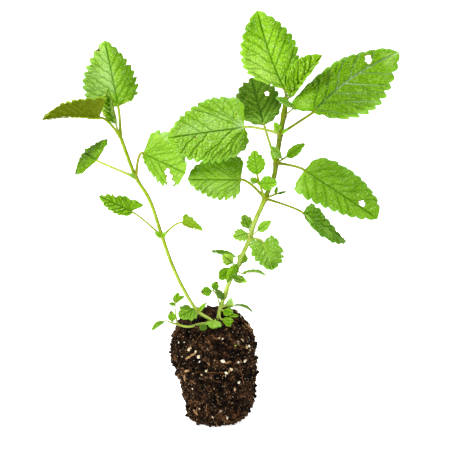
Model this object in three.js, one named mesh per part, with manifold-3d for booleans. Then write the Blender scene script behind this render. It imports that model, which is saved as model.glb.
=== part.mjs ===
// A young lemon balm plant with its bare root ball: two leafy stems, one runner and toothed
// leaves in opposite pairs. Millimetres, +Z up. The origin is the centre of the flat spot that
// the root ball stands on. +X is the plant's right and -Y its front.

import * as THREE from 'three';
import { mergeVertices } from 'three/addons/utils/BufferGeometryUtils.js';
import Module from 'manifold-3d';

const wasm = await Module();
wasm.setup();

// ---------------------------------------------------------------- driving dimensions

const CLEARANCE = 0.3; // gap between a leaf stalk and its stem, and round a stem in the soil
const BLADE_THICKNESS = 0.7;
const BLADE_SHAPE = [0.45, 0.85]; // how blunt a half blade is at its base and at its tip
const MIDRIB_RISE = 0.5; // how far the midrib stands proud under a blade, at its base
const TOOTH_DEPTH = 0.075; // of the blade's width
const TOOTH_CREST = 0.62; // where a tooth's crest lies between its two notches
const CREST_LEAN = 0.12; // how far a crest leans to the tip, as a share of its tooth
const VEIN_SWEEP = 0.25; // how far the rows across a blade sweep forward at its base
const LOBE_FALLOFF = 6; // how soon the lobes at a blade's base end
const LOBE_ROUNDNESS = 1.5;
const MARGIN_RIPPLES = { perTooth: 1.1, across: 2.5 }; // phase of a waved margin, in radians
const BLADE_TIP_WIDTH = 1.0;
const STALK_RADIUS = { share: 1 / 45, least: 0.4, most: 0.8 }; // share of the blade's width
const STALK_ROWS = 3;
const STALK_CURVE = 0.25; // how soon a stalk turns into its blade's direction
const WIDE_BLADE = 26; // a blade this wide has four strips across, and a smaller one two
const HOLE_SIDES = 7;
const HOLE_REACH = 16; // length of a hole's cutter, through the blade's whole depth
const SHOOT_FORK = 0.8; // where a shoot's other leaves leave its first leaf's stalk

const ROOT_BALL_PROFILE = [
  [0, 0], [14, 0], [17.2, 2], [19.2, 7], [20.6, 13], [22, 20], [23.4, 27], [24.8, 34],
  [25.6, 41], [25.6, 47], [24.4, 52.5], [21.5, 57.5], [17, 61], [9, 62.5], [0, 62],
];
const ROOT_BALL_SEGMENTS = 32;
const ROOT_BALL_BULGE = { shift: 1.6, from: 0, to: 10 }; // to +X, between these heights
const ROOT_BALL_LEAN = { shift: -3.3, from: 18, to: 45 }; // back to -X, further up
const SHOULDER = { from: 50, to: 58 }; // heights where the ball's side turns into its top
const SOIL_BANK = { rise: 6, from: -5, to: 20 }; // the top rises between these two Y
const CRUMB_RELIEF = 0.8; // how far peat crumbs stand out of the ball, either way
const FLAT_RADIUS = 8; // nearer the axis than this, crumbs hardly move a point sideways
const PERLITE_COUNT = 18;
const PERLITE_RADIUS = { least: 1.0, most: 1.75 };
const PERLITE_HEIGHTS = { low: 8, high: 54 };
const PERLITE_SEED = 11;

const STEM_SIDES = 8;
const STEM_SQUARENESS = 0.1; // how much further the four corners stand out
const NODE_SWELLING = 0.25; // how much thicker a stem is where leaves leave it
const NODE_SHARPNESS = 3;

// Stems, from the end in the soil to the growing tip. The named points are the nodes that
// leaves grow from.
const STEMS = {
  left: {
    radius: [1.0, 1.0],
    steps: 22,
    points: {
      foot: [2.5, -3, 50], soil: [-1, -3, 61.5], collar: [-11, -4, 69.5],
      bend: [-19.5, -5, 83.5], shin: [-26.5, -6, 99.5], second: [-32, -8, 116.5],
      knee: [-39.5, -10, 140], first: [-47, -11, 153], crown: [-55.5, -13, 177],
    },
    nodes: ['collar', 'second', 'first'],
  },
  right: {
    radius: [1.1, 1.45],
    steps: 26,
    points: {
      foot: [0, 2, 50], soil: [1, 2, 61], base: [2.5, 2, 69.5], shin: [8.5, 3, 87],
      one: [12, 3.5, 93.5], bend: [16.5, 4, 104], two: [20.5, 5, 113], knee: [22.5, 5, 120.5],
      three: [29.5, 6, 137], back: [35, 7, 151], four: [36, 7, 158.5],
      five: [38.5, 8, 176], six: [40.5, 9, 187], crown: [42, 10, 198],
    },
    nodes: ['one', 'two', 'three', 'four', 'five', 'six'],
  },
  runner: {
    radius: [0.95, 0.6],
    steps: 12,
    points: {
      foot: [-1.5, -8, 52], soil: [-3.5, -8, 62], rise: [-9.5, -11, 63.5],
      low: [-15.5, -13, 62.5], side: [-19.5, -14, 63], shoot: [-23, -15, 64.5],
      crown: [-25.5, -16, 65.2],
    },
    nodes: ['shoot'],
  },
};

// Leaves. `from` is the stem node, `base` and `tip` are the ends of the midrib, `face` is the
// way the upper side looks, and `width` is the blade's width laid flat. `fold` lifts both
// halves towards the upper side by that many degrees, `arch` bows the midrib towards it and
// `bend` bows it to the left, as shares of the length. `curl` drops the margins, `wave` ripples
// them, in mm, and `sides` makes the right and the left half narrower or wider. `lobes` says
// how far each half reaches back past the base, as a share of the length. `shapes` gives the
// right and the left half their own bluntness, `cut` is the depth of the teeth as a share of the
// width, and `holes` are eaten through the blade or out of its margin. `clear` names the leaves
// that it makes way for.
const LEAVES = [
  // left stem
  { name: 'left_crown_tall_leaf', stem: 'left', from: 'crown', base: [-57, -8, 194.5],
    tip: [-64.5, -3, 232.5], face: [0.1, -1, 0.1], width: 33, teeth: 9, fold: 10,
    shapes: [[0.2, 0.75], [0.25, 0.75]], sides: [0.88, 1.14], lobes: [0.02, 0.1], wave: 0.8,
    colour: 'pale' },
  { name: 'left_crown_drooping_leaf', stem: 'left', from: 'crown', base: [-67, -19, 189.5],
    tip: [-100, -24, 189], face: [-0.03, 0.12, 1], width: 33, teeth: 9, fold: 47, arch: 0.06,
    shapes: [[0.05, 0.5], [0.03, 0.6]], sides: [0.7, 1], lobes: [0, 0.26], wave: 0.4,
    colour: 'deep', clear: ['left_crown_tall_leaf'] },
  { name: 'left_crown_young_leaf', stem: 'left', from: 'crown', base: [-58, -16, 185.5],
    tip: [-61.5, -25.5, 207], face: [-0.6, -0.7, 0.1], width: 15, teeth: 7, fold: 46,
    wave: 0.5, clear: ['left_crown_tall_leaf', 'left_crown_drooping_leaf'] },
  { name: 'left_first_left_leaf', stem: 'left', from: 'first', base: [-69.5, -16, 164],
    tip: [-79, 6, 165], face: [-0.55, -0.41, 0.63], width: 29, teeth: 6, fold: 8,
    shapes: [[0.2, 0.9], [0.2, 0.9]], curl: 0.06, colour: 'deep' },
  { name: 'left_first_right_leaf', stem: 'left', from: 'first', base: [-42.5, -15, 168],
    tip: [-17.5, -33, 159.5], face: [-0.5, -0.8, 0.3], width: 33, teeth: 8,
    shapes: [[0.6, 0.4], [0.18, 0.6]], sides: [0.77, 1.08], lobes: [0.1, 0.2], curl: 0.12,
    wave: 0.8, colour: 'pale',
    holes: [[0.64, -0.22, 1.7], [0.72, -0.4, 2.2], [0.79, -0.6, 2.7], [0.86, -0.8, 3.4]] },
  { name: 'left_second_left_leaf', stem: 'left', from: 'second', base: [-49.5, -12, 132.5],
    tip: [-68, -20, 143.5], face: [0.1, -0.75, 0.6], width: 15, teeth: 6,
    shapes: [[0.1, 0.8], [0.4, 0.6]], sides: [1.15, 0.8], lobes: [0.48, 0.1], wave: 0.5,
    holes: [[0.56, -0.85, 2.2]] },
  { name: 'left_second_right_leaf', stem: 'left', from: 'second', base: [-19.5, -12, 126],
    tip: [-7.5, -18, 122.5], face: [-0.25, 0.25, 0.93], width: 18.5, teeth: 4, fold: 55,
    shapes: [[0.15, 0.8], [0.3, 0.8]], sides: [1, 0.5], lobes: [0.14, 0.04] },
  { name: 'left_collar_leaf', stem: 'left', from: 'collar', base: [-12.5, -8, 71.5],
    tip: [-22, -17, 69.5], face: [-0.1, -0.75, 0.65], width: 13, teeth: 3, arch: 0.06,
    cut: 0.13, lobes: [0.12, 0.05] },
  // right stem, crown
  { name: 'right_crown_tall_leaf', stem: 'right', from: 'crown', base: [41, 13, 202],
    tip: [24.5, 10, 249], face: [0.05, -1, 0.1], width: 38, teeth: 10, fold: 8, bend: 0.03,
    shapes: [[0.6, 0.85], [0.5, 0.75]], sides: [0.9, 0.95], lobes: [0.02, -0.06], wave: 0.9,
    colour: 'pale' },
  { name: 'right_crown_folded_leaf', stem: 'right', from: 'crown', base: [43.5, 4, 198.5],
    tip: [62, -4, 224], face: [-0.55, -0.75, 0.3], width: 20, teeth: 8, fold: 36,
    shapes: [[0.45, 0.85], [0.5, 0.6]], sides: [0.42, 1.03], bend: 0.01, wave: 0.5,
    clear: ['right_crown_tall_leaf'] },
  { name: 'right_crown_small_leaf', stem: 'right', from: 'six', base: [45.5, -2, 194.5],
    tip: [35, -10, 200], face: [0.1, -0.6, 0.8], width: 8, teeth: 4 },
  // right stem, fifth pair
  { name: 'right_fifth_right_leaf', stem: 'right', from: 'five', base: [57.5, 0, 190],
    tip: [108.5, 8, 224.5], face: [-0.1, -0.9, 0.35], width: 38, teeth: 11, fold: 6,
    bend: 0.06, shapes: [[0.65, 0.95], [0.2, 0.6]], sides: [1.28, 0.76], lobes: [0, 0.28],
    wave: 0.9, holes: [[0.72, 0.22, 2.2]] },
  { name: 'right_fifth_left_leaf', stem: 'right', from: 'five', base: [17, -5, 182],
    tip: [-27, -34, 180], face: [0.1, -1, 0.3], width: 40, teeth: 10,
    shapes: [[0.16, 0.65], [0.3, 0.5]], sides: [1.02, 0.93], lobes: [0.2, 0.13], curl: 0.08,
    wave: 1.0, colour: 'pale' },
  // right stem, fourth pair
  { name: 'right_fourth_back_leaf', stem: 'right', from: 'four', base: [29, 18, 180],
    tip: [21.5, 36, 206.5], face: [0.05, -1, 0.35], width: 28.5, teeth: 7, fold: 6,
    shapes: [[0.35, 0.6], [0.35, 0.6]], lobes: [0.04, 0.04], holes: [[0.6, -0.47, 1.5]],
    colour: 'deep' },
  { name: 'right_fourth_right_leaf', stem: 'right', from: 'four', base: [52.5, -3, 156],
    tip: [94.5, -22, 130.5], face: [-0.1, -0.85, 0.5], width: 32, teeth: 9, curl: 0.1,
    shapes: [[0.08, 0.6], [0.2, 0.45]], sides: [0.88, 1.03], lobes: [0.06, 0.06], wave: 0.7,
    holes: [[0.76, 0.15, 1.8]] },
  { name: 'right_fourth_small_right_leaf', stem: 'right', from: 'four', base: [42, 0, 163.5],
    tip: [52.5, -4, 172], face: [-0.4, -0.7, 0.5], width: 7.5, teeth: 4, colour: 'deep' },
  { name: 'right_fourth_small_left_leaf', stem: 'right', from: 'four', base: [39, 0, 163],
    tip: [32.5, -6, 170.5], face: [0.4, -0.8, 0.5], width: 6, teeth: 3, colour: 'pale',
    clear: ['right_fourth_small_right_leaf'] },
  // right stem, third pair
  { name: 'right_third_left_leaf', stem: 'right', from: 'three', base: [15, 1, 149.5],
    tip: [-16.5, -11, 152], face: [0.1, -1, 0.2], width: 27, teeth: 8, curl: 0.1,
    shapes: [[0.12, 0.5], [0.18, 0.6]], sides: [1.1, 0.95], lobes: [0.2, 0.08], wave: 0.7 },
  { name: 'right_third_right_leaf', stem: 'right', from: 'three', base: [53, 12, 127],
    tip: [80, 18, 108], face: [0.4, -0.5, 0.7], width: 22, teeth: 7, fold: 12,
    shapes: [[0.4, 0.6], [0.15, 1.3]], sides: [1.1, 0.98], lobes: [0, 0.03], colour: 'deep' },
  // right stem, second pair
  { name: 'right_second_left_leaf', stem: 'right', from: 'two', base: [19, -1, 117],
    tip: [10.5, -9, 116.5], face: [-0.2, -0.9, 0.4], width: 10, teeth: 4, cut: 0.12 },
  { name: 'right_second_back_leaf', stem: 'right', from: 'two', base: [20, 11, 117.5],
    tip: [16.5, 15, 125], face: [-0.2, -1, 0.3], width: 8, teeth: 3, colour: 'pale' },
  { name: 'right_second_small_leaf', stem: 'right', from: 'two', base: [25, 2, 118],
    tip: [33, 0, 124.5], face: [-0.3, -0.8, 0.5], width: 6.5, teeth: 3, colour: 'pale' },
  { name: 'right_second_right_leaf', stem: 'right', from: 'two', base: [28, -3, 112],
    tip: [33.5, -17, 98.5], face: [0.2, -0.8, 0.55], width: 24, teeth: 5,
    shapes: [[0.3, 0.7], [0.3, 0.7]], sides: [0.78, 0.95], cut: 0.1, lobes: [0.5, 0.6],
    curl: 0.06, wave: 0.6,
    colour: 'pale' },
  // right stem, first pair and the small leaves round it
  { name: 'right_first_right_leaf', stem: 'right', from: 'one', base: [16, -2, 92.5],
    tip: [30, -10, 93], face: [0.1, 0.1, 1], width: 6.5, teeth: 5, fold: 30, arch: 0.12 },
  { name: 'right_first_top_leaf', stem: 'right', from: 'bend', base: [11.5, 1, 102.5],
    tip: [-3, -4, 107], face: [0, -0.35, 1], width: 6.5, teeth: 5, fold: 25 },
  { name: 'right_first_upper_leaf', stem: 'right', from: 'one', base: [10, -2, 99],
    tip: [4, -7, 105], face: [-0.1, -1, 0.3], width: 7.5, teeth: 3 },
  { name: 'right_first_left_leaf', stem: 'right', from: 'one', base: [9.5, -4, 96],
    tip: [2, -10, 91], face: [-0.5, -0.8, 0.3], width: 10, teeth: 4, colour: 'deep',
    clear: ['right_first_upper_leaf'] },
  { name: 'right_first_middle_leaf', stem: 'right', from: 'one', base: [12.5, -5, 99],
    tip: [6.5, -12, 89.5], face: [-0.2, -1, 0.2], width: 6.5, teeth: 4,
    clear: ['right_first_upper_leaf', 'right_first_left_leaf'] },
  { name: 'right_first_lower_leaf', stem: 'right', from: 'one', base: [10.5, 0.5, 89.5],
    tip: [18.5, -6, 88.5], face: [0.1, -0.9, 0.4], width: 5.5, teeth: 3 },
  { name: 'right_first_back_leaf', stem: 'right', from: 'one', base: [15.5, 7, 96.5],
    tip: [17, 9, 103], face: [0.3, -1, 0.1], width: 7, teeth: 3, colour: 'deep' },
  // round the foot of the right stem
  { name: 'foot_right_pale_leaf', stem: 'right', from: 'base', base: [5.5, 0, 72.5],
    tip: [10.5, -3, 72], face: [0.1, -0.9, 0.2], width: 7, teeth: 3, sides: [0.3, 1.5],
    colour: 'pale' },
  { name: 'foot_right_arching_leaf', stem: 'right', from: 'base', base: [11, -6, 74],
    tip: [22, -12, 71], face: [0.1, 0.2, 1], width: 5.5, teeth: 5, fold: 30, arch: 0.1,
    colour: 'deep' },
  { name: 'foot_long_leaf', stem: 'right', from: 'shin', base: [5, -1, 76.5],
    tip: [-0.5, -6.5, 84], face: [0.5, -0.8, 0.4], width: 5, teeth: 4, colour: 'deep' },
  // soil level
  { name: 'soil_front_round_leaf', stem: 'left', from: 'soil', base: [-0.5, -10, 65.5],
    tip: [-2, -17, 62.5], face: [0, -0.7, 0.7], width: 10, teeth: 3, colour: 'pale' },
  { name: 'soil_front_small_leaf', stem: 'runner', from: 'soil', base: [-6.5, -13.5, 63.5],
    tip: [-9, -17.5, 61.5], face: [0, -0.7, 0.7], width: 5, teeth: 3, colour: 'deep',
    clear: ['soil_front_round_leaf'] },
  // runner
  { name: 'runner_left_leaf', stem: 'runner', from: 'crown', base: [-31, -17, 67],
    tip: [-38, -22, 63], face: [-0.4, -0.3, 0.85], width: 6.5, teeth: 5, fold: 24 },
];

// Side shoots: several small leaves on one stalk, in one piece.
const SHOOTS = [
  { name: 'right_third_upright_shoot', stem: 'right', from: 'three',
    leaves: [
      { base: [24.5, -5, 153.5], tip: [22.5, -8, 168.5], face: [0, -1, 0.1], width: 12,
        teeth: 5 },
      { base: [25.5, -5.5, 148], tip: [36, -9, 149.5], face: [0.1, -1, 0.2], width: 9.5,
        teeth: 3 },
      { base: [24.5, -5.5, 149], tip: [20.5, -8, 151.5], face: [0, -1, 0.3], width: 4.5,
        teeth: 2 },
    ] },
  { name: 'right_third_twig', stem: 'right', from: 'three',
    leaves: [
      { base: [37, 1, 141], tip: [42, 0, 142.5], face: [0, -0.5, 1], width: 2.6, teeth: 2 },
      { base: [35.5, 1, 141], tip: [36.5, -1, 145.5], face: [0, -1, 0.2], width: 2.4,
        teeth: 2 },
    ] },
  { name: 'right_crown_bud', stem: 'right', from: 'crown',
    clear: ['right_crown_tall_leaf', 'right_crown_folded_leaf'],
    leaves: [
      { base: [41.6, 7, 203], tip: [41, 6, 211.5], face: [1, -0.8, 0.2], width: 6,
        teeth: 3, fold: 30 },
      { base: [43.2, 7, 203], tip: [44.5, 6, 208], face: [-1, -0.8, 0.2], width: 4,
        teeth: 2, fold: 30 },
    ] },
  { name: 'foot_left_shoot', stem: 'right', from: 'base',
    leaves: [
      { base: [-2.6, -3, 82], tip: [-9, -6, 82], face: [-0.1, -0.9, 0.5], width: 6.5,
        teeth: 3 },
      { base: [-1.5, -2.5, 82.5], tip: [0.5, -4, 88], face: [0, -1, 0.3], width: 5,
        teeth: 3 },
    ] },
  { name: 'soil_right_shoot', stem: 'right', from: 'base',
    leaves: [
      { base: [4.5, -4, 70], tip: [10, -8, 69.5], face: [0.1, -0.8, 0.6], width: 6.5,
        teeth: 3 },
      { base: [7.5, -6.5, 68], tip: [13.5, -9, 68], face: [0.2, -0.6, 0.8], width: 3.2,
        teeth: 2 },
    ] },
  { name: 'soil_front_right_shoot', stem: 'right', from: 'base',
    leaves: [
      { base: [3.8, -7.4, 65.1], tip: [10.5, -11.4, 65.5], face: [0, -0.7, 0.7], width: 5,
        teeth: 3 },
      { base: [6, -8.5, 65], tip: [8.5, -13, 62.5], face: [0, -0.7, 0.7], width: 4, teeth: 2 },
    ] },
  { name: 'runner_back_shoot', stem: 'runner', from: 'shoot',
    leaves: [
      { base: [-24.3, -13, 77], tip: [-22.5, -15, 84], face: [0.1, -1, 0.3], width: 4.6,
        teeth: 3 },
      { base: [-24.5, -13.5, 76.5], tip: [-28, -15, 77.2], face: [0, -1, 0.5], width: 2.6,
        teeth: 2 },
      { base: [-23.5, -14, 79.5], tip: [-19, -16, 82], face: [0, -1, 0.4], width: 3,
        teeth: 2 },
    ] },
  { name: 'runner_middle_leaf', stem: 'runner', from: 'shoot',
    leaves: [
      { base: [-26, -18, 67], tip: [-26.5, -19.5, 74], face: [-0.2, -1, 0.3], width: 5.2,
        teeth: 3 },
    ] },
];

// Tiny leaves in the axils, in one piece with their stem.
const AXIL_LEAVES = {
  left: [
    { from: 'first', tip: [-50.5, -16.5, 156], face: [0, -1, 0.4], width: 3.2 },
    { from: 'second', tip: [-36, -12.5, 120], face: [0, -1, 0.4], width: 3.4 },
    { from: 'second', tip: [-29.5, -12.5, 120], face: [0, -1, 0.4], width: 3.2 },
    { from: 'collar', tip: [-6, -5, 75], face: [-0.4, -1, 0.4], width: 3 },
  ],
  right: [
    { from: 'five', tip: [34.8, 4, 183.5], face: [0, -1, 0.2], width: 5 },
    { from: 'five', tip: [42.5, 1, 180], face: [0.3, -1, 0.6], width: 2.6 },
    { from: 'four', tip: [32.5, 5, 166], face: [0.2, -1, 0.2], width: 2.4 },
  ],
  runner: [],
};
const AXIL_TEETH = 2;

const COLOURS = {
  leaf: '#5fa51c',
  pale: '#8cc83c',
  deep: '#3f8420',
  stem: '#a3bc2a',
  soil: '#2b1d14',
};
const LEAF_ROUGHNESS = 0.55;
const STEM_ROUGHNESS = 0.45;
const SOIL_ROUGHNESS = 0.95;

// ---------------------------------------------------------------- solids

const vec = (point) => new THREE.Vector3(...point);

// A closed geometry as a solid that can be joined and cut.
function toSolid(geometry) {
  const bare = new THREE.BufferGeometry();
  bare.setAttribute('position', geometry.getAttribute('position').clone());
  bare.setIndex(geometry.getIndex());
  const merged = mergeVertices(bare, 1e-4);
  const index = merged.getIndex().array;
  const triangles = [];
  for (let i = 0; i < index.length; i += 3) {
    const [a, b, c] = [index[i], index[i + 1], index[i + 2]];
    if (a !== b && b !== c && c !== a) triangles.push(a, b, c);
  }
  return new wasm.Manifold(new wasm.Mesh({
    numProp: 3,
    vertProperties: new Float32Array(merged.getAttribute('position').array),
    triVerts: new Uint32Array(triangles),
  }));
}

function toGeometry(solid) {
  const { vertProperties, triVerts } = solid.getMesh();
  const geometry = new THREE.BufferGeometry();
  geometry.setAttribute('position', new THREE.BufferAttribute(vertProperties, 3));
  geometry.setIndex(new THREE.BufferAttribute(triVerts, 1));
  geometry.computeVertexNormals();
  return geometry;
}

// Turns a grid of points into a closed blade: the same triangles on both faces, and a wall
// round the edge. above(i) and below(i) give the two faces' points for grid point i.
function closedBlade(grid, above, below) {
  const count = grid.getAttribute('position').count;
  const points = [];
  for (let i = 0; i < count; i++) points.push(...above(i).toArray());
  for (let i = 0; i < count; i++) points.push(...below(i).toArray());
  const top = grid.getIndex().array;
  const triangles = [];
  const edges = new Map();
  for (let i = 0; i < top.length; i += 3) {
    const [a, b, c] = [top[i], top[i + 1], top[i + 2]];
    triangles.push(a, b, c, a + count, c + count, b + count);
    for (const [p, q] of [[a, b], [b, c], [c, a]]) {
      if (!edges.delete(`${q} ${p}`)) edges.set(`${p} ${q}`, [p, q]);
    }
  }
  for (const [p, q] of edges.values()) {
    triangles.push(q, p, p + count, q, p + count, q + count);
  }
  const geometry = new THREE.BufferGeometry();
  geometry.setAttribute('position', new THREE.Float32BufferAttribute(points, 3));
  geometry.setIndex(triangles);
  return geometry;
}

// ---------------------------------------------------------------- stems

// A cylinder bent along a curve, square in section with rounded corners.
function stemGeometry(stem, grow) {
  const names = Object.keys(stem.points);
  const curve = new THREE.CatmullRomCurve3(names.map((name) => vec(stem.points[name])));
  const frames = curve.computeFrenetFrames(stem.steps);
  const nodePlaces = stem.nodes.map((name) => names.indexOf(name) / (names.length - 1));
  const geometry = new THREE.CylinderGeometry(1, 1, 1, STEM_SIDES, stem.steps);
  const position = geometry.getAttribute('position');
  for (let i = 0; i < position.count; i++) {
    const step = Math.round((position.getY(i) + 0.5) * stem.steps);
    const along = step / stem.steps;
    const t = curve.getUtoTmapping(along);
    const nearest = Math.min(...nodePlaces.map((place) => Math.abs(place - t)));
    const spread = nearest * (names.length - 1) * NODE_SHARPNESS;
    const swelling = 1 + NODE_SWELLING * Math.exp(-spread * spread);
    const angle = Math.atan2(position.getZ(i), position.getX(i));
    const corner = 1 - STEM_SQUARENESS * Math.cos(4 * angle);
    const radius = THREE.MathUtils.lerp(...stem.radius, along) * swelling * corner + grow;
    const reach = Math.hypot(position.getX(i), position.getZ(i)) * radius;
    const place = curve.getPointAt(along);
    if (grow > 0 && step === 0) place.addScaledVector(frames.tangents[0], -grow);
    if (grow > 0 && step === stem.steps) place.addScaledVector(frames.tangents[step], grow);
    place.addScaledVector(frames.normals[step], reach * Math.cos(angle));
    place.addScaledVector(frames.binormals[step], -reach * Math.sin(angle));
    position.setXYZ(i, place.x, place.y, place.z);
  }
  return geometry;
}

// ---------------------------------------------------------------- leaves

// Half a blade's outline: how wide it is at a share u of its length, up to 1.
function bladeOutline(u, [base, tip]) {
  const widest = base / (base + tip);
  return (u / widest) ** base * ((1 - u) / (1 - widest)) ** tip;
}

// The rows across a leaf: first the stalk's, then one at each notch and each crest.
function leafRows(leaf, hasStalk) {
  const rows = [];
  for (let i = 0; hasStalk && i < STALK_ROWS; i++) rows.push({ stalk: i / STALK_ROWS });
  rows.push({ u: 0 });
  for (let tooth = 0; tooth < leaf.teeth; tooth++) {
    rows.push({ u: (tooth + TOOTH_CREST) / leaf.teeth, crest: true });
    if (tooth + 1 < leaf.teeth) rows.push({ u: (tooth + 1) / leaf.teeth, notch: true });
  }
  rows.push({ u: 1 });
  return rows;
}

// How wide half a blade is on a row that crosses it.
function halfWidth(leaf, row, side) {
  const { width, shapes = [BLADE_SHAPE, BLADE_SHAPE], sides = [1, 1], cut = TOOTH_DEPTH } = leaf;
  const outline = bladeOutline(row.u, shapes[side]);
  const notch = row.notch ? cut * width * Math.sqrt(outline) : 0;
  return sides[side] * ((width / 2) * outline - notch);
}

// A stalk's middle line, from its stem to the blade's base.
function stalkCurve(leaf, start) {
  const base = vec(leaf.base);
  const along = vec(leaf.tip).sub(base).normalize();
  const control = base.clone().addScaledVector(along, -STALK_CURVE * start.distanceTo(base));
  return new THREE.QuadraticBezierCurve3(start, control, base);
}

// A leaf in one piece: a square stalk that opens into a thin toothed blade. `grow` thickens it
// all round, for the room that a neighbour leaves it.
function leafGeometry(leaf, start, grow = 0) {
  const { teeth, fold = 0, arch = 0, bend = 0, curl = 0, wave = 0 } = leaf;
  const { lobes = [0.04, 0.04] } = leaf;
  const base = vec(leaf.base);
  const along = vec(leaf.tip).sub(base);
  const length = along.length();
  along.normalize();
  const up = vec(leaf.face);
  up.addScaledVector(along, -up.dot(along)).normalize();
  const across = new THREE.Vector3().crossVectors(up, along);

  const { share, least, most } = STALK_RADIUS;
  const stalkRadius = THREE.MathUtils.clamp(leaf.width * share, least, most) + grow;
  const stalk = start ? stalkCurve(leaf, start) : null;
  const rows = leafRows(leaf, start !== null);

  // The stalk's own frame is carried back from the blade's, so that it never flips.
  const frames = rows.map(() => ({ up, across }));
  for (let r = rows.length - 1; r >= 0; r--) {
    if (rows[r].stalk === undefined) continue;
    const tangent = stalk.getTangent(rows[r].stalk);
    const next = frames[r + 1];
    const side = next.across.clone().addScaledVector(tangent, -next.across.dot(tangent));
    side.normalize();
    frames[r] = { across: side, up: new THREE.Vector3().crossVectors(tangent, side) };
  }

  const columns = leaf.width > WIDE_BLADE ? 4 : 2;
  const grid = new THREE.PlaneGeometry(2, rows.length - 1, columns, rows.length - 1);
  const lean = THREE.MathUtils.degToRad(fold);
  const halfBlade = (0.5 * BLADE_THICKNESS) / Math.cos(lean) + grow;
  const middle = [];
  const offsets = [];
  for (let i = 0; i < grid.getAttribute('position').count; i++) {
    const r = Math.floor(i / (columns + 1));
    const v = -1 + (2 * (i % (columns + 1))) / columns;
    const row = rows[r];
    const frame = frames[r];
    if (row.stalk !== undefined) {
      middle.push(stalk.getPoint(row.stalk).addScaledVector(frame.across, v * stalkRadius));
      offsets.push({ up: frame.up, above: stalkRadius, below: stalkRadius });
      continue;
    }
    const u = row.u;
    const inner = u > 0 && u < 1 ? 1 : 0;
    const side = v > 0 ? 1 : 0;
    const end = u === 0 ? stalkRadius : BLADE_TIP_WIDTH / 2;
    const half = inner ? halfWidth(leaf, row, side) + grow : end;
    const reach = Math.abs(v) * half;
    const bow = 4 * u * (1 - u) * length;
    const swept = VEIN_SWEEP * reach * (1 - u)
      - lobes[side] * length * Math.abs(v) ** LOBE_ROUNDNESS * (1 - u) ** LOBE_FALLOFF
      + (row.crest ? CREST_LEAN * (length / teeth) * Math.abs(v) : 0);
    const droop = (curl * reach * reach) / (leaf.width / 2);
    const phase = MARGIN_RIPPLES.perTooth * teeth * u + MARGIN_RIPPLES.across * v;
    const ripple = wave * v * v * Math.sin(phase);
    middle.push(base.clone()
      .addScaledVector(along, u * length + inner * swept)
      .addScaledVector(across, v * half * Math.cos(lean) + bend * bow)
      .addScaledVector(up, reach * Math.sin(lean) + arch * bow - droop + inner * ripple));
    const atStalk = u === 0 ? stalkRadius : halfBlade;
    const rib = v === 0 ? inner * MIDRIB_RISE * (1 - u) : 0;
    offsets.push({ up, above: atStalk, below: atStalk + rib });
  }
  const above = (i) => middle[i].clone().addScaledVector(offsets[i].up, offsets[i].above);
  const below = (i) => middle[i].clone().addScaledVector(offsets[i].up, -offsets[i].below);
  return closedBlade(grid, above, below);
}

// A hole eaten through a blade: [share of the length, share of the half width, radius].
function holeCutter(leaf, [u, v, radius]) {
  const base = vec(leaf.base);
  const along = vec(leaf.tip).sub(base);
  const length = along.length();
  const place = base.clone().addScaledVector(along, u);
  const up = vec(leaf.face);
  up.addScaledVector(along, -up.dot(along) / along.lengthSq()).normalize();
  const side = new THREE.Vector3().crossVectors(up, along.normalize());
  const bow = (leaf.bend ?? 0) * 4 * u * (1 - u) * length;
  place.addScaledVector(side, (v * leaf.width) / 2 + bow);
  const cutter = new THREE.CylinderGeometry(radius, radius, HOLE_REACH, HOLE_SIDES);
  cutter.applyQuaternion(
    new THREE.Quaternion().setFromUnitVectors(new THREE.Vector3(0, 1, 0), up));
  cutter.translate(place.x, place.y, place.z);
  return toSolid(cutter);
}

// ---------------------------------------------------------------- root ball

// Crumb relief: a smooth sum of waves, between -1 and 1.
function crumbs(x, y, z) {
  return 0.4 * Math.sin(0.9 * x + 2 * Math.sin(0.31 * z)) * Math.sin(0.8 * y + 1.1)
    + 0.35 * Math.sin(1.3 * y + 0.7 * z) * Math.sin(1.1 * x - 0.9 * z + 2)
    + 0.25 * Math.sin(1.9 * z + 0.8 * x + 1.7 * Math.sin(0.7 * y));
}

// A rise from 0 to its full size between two places, level at both.
function ramp(place, { from, to }) {
  return THREE.MathUtils.smoothstep(place, from, to);
}

// How far the ball's middle lies to +X at a height.
function ballDrift(height) {
  return ROOT_BALL_BULGE.shift * ramp(height, ROOT_BALL_BULGE)
    + ROOT_BALL_LEAN.shift * ramp(height, ROOT_BALL_LEAN);
}

function rootBallGeometry() {
  const profile = ROOT_BALL_PROFILE.map(([radius, height]) => new THREE.Vector2(radius, height));
  const geometry = new THREE.LatheGeometry(profile, ROOT_BALL_SEGMENTS);
  geometry.rotateX(Math.PI / 2);
  const position = geometry.getAttribute('position');
  for (let i = 0; i < position.count; i++) {
    const [x, y, z] = [position.getX(i), position.getY(i), position.getZ(i)];
    const radius = Math.hypot(x, y);
    const relief = z > 0 ? CRUMB_RELIEF * crumbs(x, y, z) : 0;
    const stretch = 1 + relief / Math.max(radius, FLAT_RADIUS);
    const lift = ramp(z, SHOULDER) * (relief + SOIL_BANK.rise * ramp(y, SOIL_BANK));
    position.setXYZ(i, x * stretch + ballDrift(z), y * stretch, z + lift);
  }
  return geometry;
}

// The seeded random numbers that place the perlite grains.
function randomNumbers(seed) {
  let state = seed;
  return () => {
    state = (state * 16807) % 2147483647;
    return state / 2147483647;
  };
}

function rootBallRadiusAt(height) {
  for (let i = 2; i < ROOT_BALL_PROFILE.length; i++) {
    const [r1, z1] = ROOT_BALL_PROFILE[i];
    const [r0, z0] = ROOT_BALL_PROFILE[i - 1];
    if (height <= z1) return THREE.MathUtils.mapLinear(height, z0, z1, r0, r1);
  }
  return 0;
}

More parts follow.
